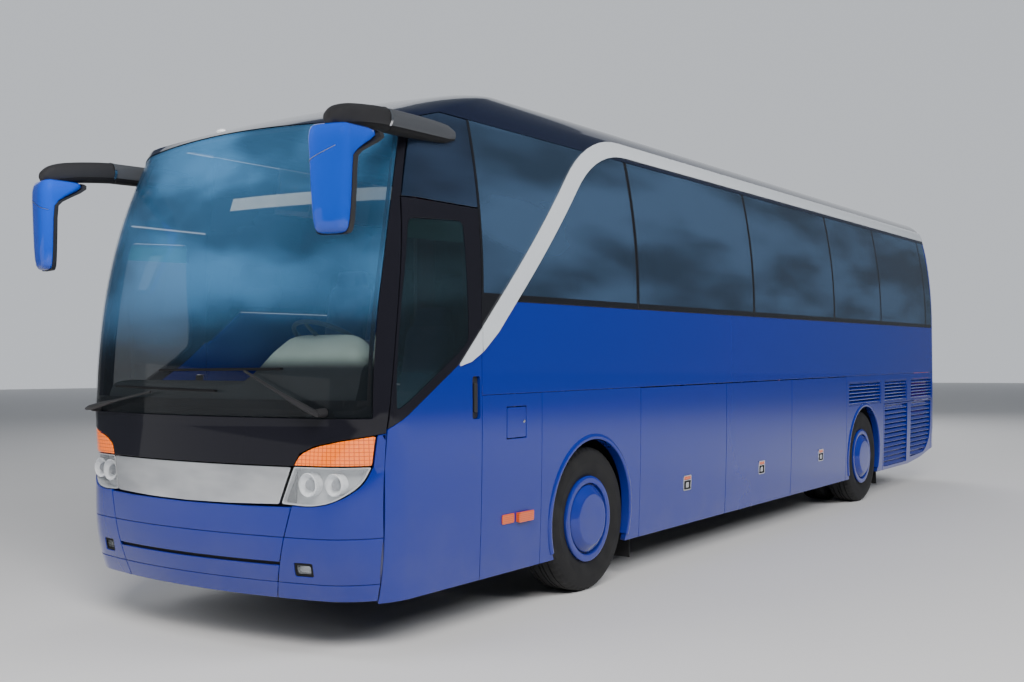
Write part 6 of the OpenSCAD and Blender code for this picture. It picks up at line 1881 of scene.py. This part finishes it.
def curtain():
    """Gathered curtain: seven folds y = a cos(14 pi u) whose depth a grows towards the hem."""
    u, v = np.meshgrid(np.linspace(0, 1, 120), np.linspace(0, 1, 40), indexing="ij")
    z = CURTAIN_HEM_Z + CURTAIN_DROP * v
    a = 0.017 + 0.006 * (1 - v) * np.sin(3.1 * u * math.pi) ** 2
    x = 0.306 + 0.148 * u + 0.004 * np.sin(9 * u + 3 * v)
    y = RAIL_Y + a * np.cos(2 * math.pi * 7 * u + 0.5 * np.sin(2 * v)) - 0.003 * np.sin(5 * v + 11 * u)
    return np.stack([x, y, z], -1)


grid = curtain()
nu, nv = grid.shape[:2]
ids = np.arange(nu * nv).reshape(nu, nv)
quads = np.stack([ids[:-1, :-1], ids[1:, :-1], ids[1:, 1:], ids[:-1, 1:]], -1).reshape(-1, 4)
hanging = Shape().add(grid.reshape(-1, 3), quads, corner_normals(grid.reshape(-1, 3), quads, 1.5))
hanging = hanging.make("gathered_curtain", [CURTAIN], "coach", "curtains", "curtain_cloth")
rail = Shape()
for x in (0.290, 1.120):
    rail.join(sweep([(x, RAIL_Y, FLOOR_Z + 0.002), (x, RAIL_Y, RAIL_Z)], 0.014, 14, 0, up=(0, 1, 0)))
rail.join(sweep([(0.285, RAIL_Y, RAIL_Z), (1.125, RAIL_Y, RAIL_Z)], 0.014, 14))
rail.make("curtain_rail", [SATIN], "coach")


# ---------------------------------------- stage, light and camera
def stage_piece(name, points, faces, material):
    """A surface of the studio, which is no part of the coach."""
    mesh = bpy.data.meshes.new(name)
    mesh.from_pydata(points, [], faces)
    mesh.materials.append(material)
    placed(name, mesh)


def floor_paint(name, colour):
    """Matt pale floor whose tone changes a little in wide clouds."""
    g = Graph(name)
    cloud = g.noise(0.6, 2.0)
    base = g.mix(tuple(0.96 * c for c in colour), colour, cloud)
    return g.finish(Base_Color=base, Roughness=0.62 + 0.06 * cloud)


FLOOR_HALF = 90.0
WALL_R = 62.0
floor_corners = [(x * FLOOR_HALF, y * FLOOR_HALF, 0) for x, y in ((-1, -1), (1, -1), (1, 1), (-1, 1))]
stage_piece("studio_floor", floor_corners, [(0, 1, 2, 3)], floor_paint("studio_floor", (0.58, 0.58, 0.59)))
wall_points = [(WALL_R * math.cos(a), WALL_R * math.sin(a), z) for z in (-0.5, 45.0)
               for a in np.radians(np.linspace(86, 176, 31))]
wall_glow = Graph("studio_wall").finish(Base_Color=(0.3, 0.3, 0.3), Roughness=1.0,
                                        Emission_Color=(0.90, 0.94, 1.0), Emission_Strength=0.62)
stage_piece("studio_wall", wall_points, [(i, i + 1, i + 32, i + 31) for i in range(30)], wall_glow)

world = bpy.data.worlds.new("studio")
world.use_nodes = True
world.node_tree.nodes["Background"].inputs["Color"].default_value = (0.80, 0.89, 1.0, 1.0)
world.node_tree.nodes["Background"].inputs["Strength"].default_value = 0.15
bpy.context.scene.world = world


def area_light(name, place, target, size, power, colour=(1, 1, 1), shine=False):
    """A rectangular lamp that looks at its target; shine lets the coach mirror it."""
    light = bpy.data.lights.new(name, "AREA")
    light.shape = "RECTANGLE"
    light.size, light.size_y = size
    light.energy = power
    light.color = colour
    lamp = placed(name, light)
    lamp.location = place
    lamp.rotation_euler = (Vector(target) - Vector(place)).to_track_quat("-Z", "Y").to_euler()
    lamp.visible_glossy = shine


area_light("key_light", (9.0, -13.0, 11.0), (0, -2, 1.5), (9, 6), 3500, (1.0, 0.97, 0.93))
area_light("side_light", (15.0, 4.0, 10.0), (0, 2, 1.5), (12, 5), 2500)
area_light("front_light", (-7.0, -15.0, 6.0), (0, -5, 1.5), (8, 5), 750)
area_light("low_light", (-7.5, -15.0, 1.2), (0, -5.8, 1.0), (12, 3), 60, shine=True)
area_light("rear_light", (-9.0, 16.0, 9.0), (0, 3, 1.5), (10, 5), 1500)
area_light("cabin_light", (0.0, -6.3, 3.25), (0, -4.5, 0.8), (1.6, 0.6), 30)

# as the photograph was taken: a lens of 41 mm, 34 degrees off the coach's line, at eye height
camera_data = bpy.data.cameras.new("camera")
camera_data.lens = 41.115
camera_data.sensor_width = 36
camera_data.clip_end = 400
camera = placed("camera", camera_data)
yaw, pitch, roll = (math.radians(a) for a in (34.49, 0.78, -0.34))
ahead = Vector((-math.sin(yaw) * math.cos(pitch), math.cos(yaw) * math.cos(pitch), math.sin(pitch)))
level = Vector((math.cos(yaw), math.sin(yaw), 0))
upright = level.cross(ahead)
right = level * math.cos(roll) + upright * math.sin(roll)
up = upright * math.cos(roll) - level * math.sin(roll)
turn = Matrix((right, up, -ahead)).transposed().to_4x4()
camera.matrix_world = Matrix.Translation((5.509, -10.4195, 1.666)) @ turn
bpy.context.scene.camera = camera
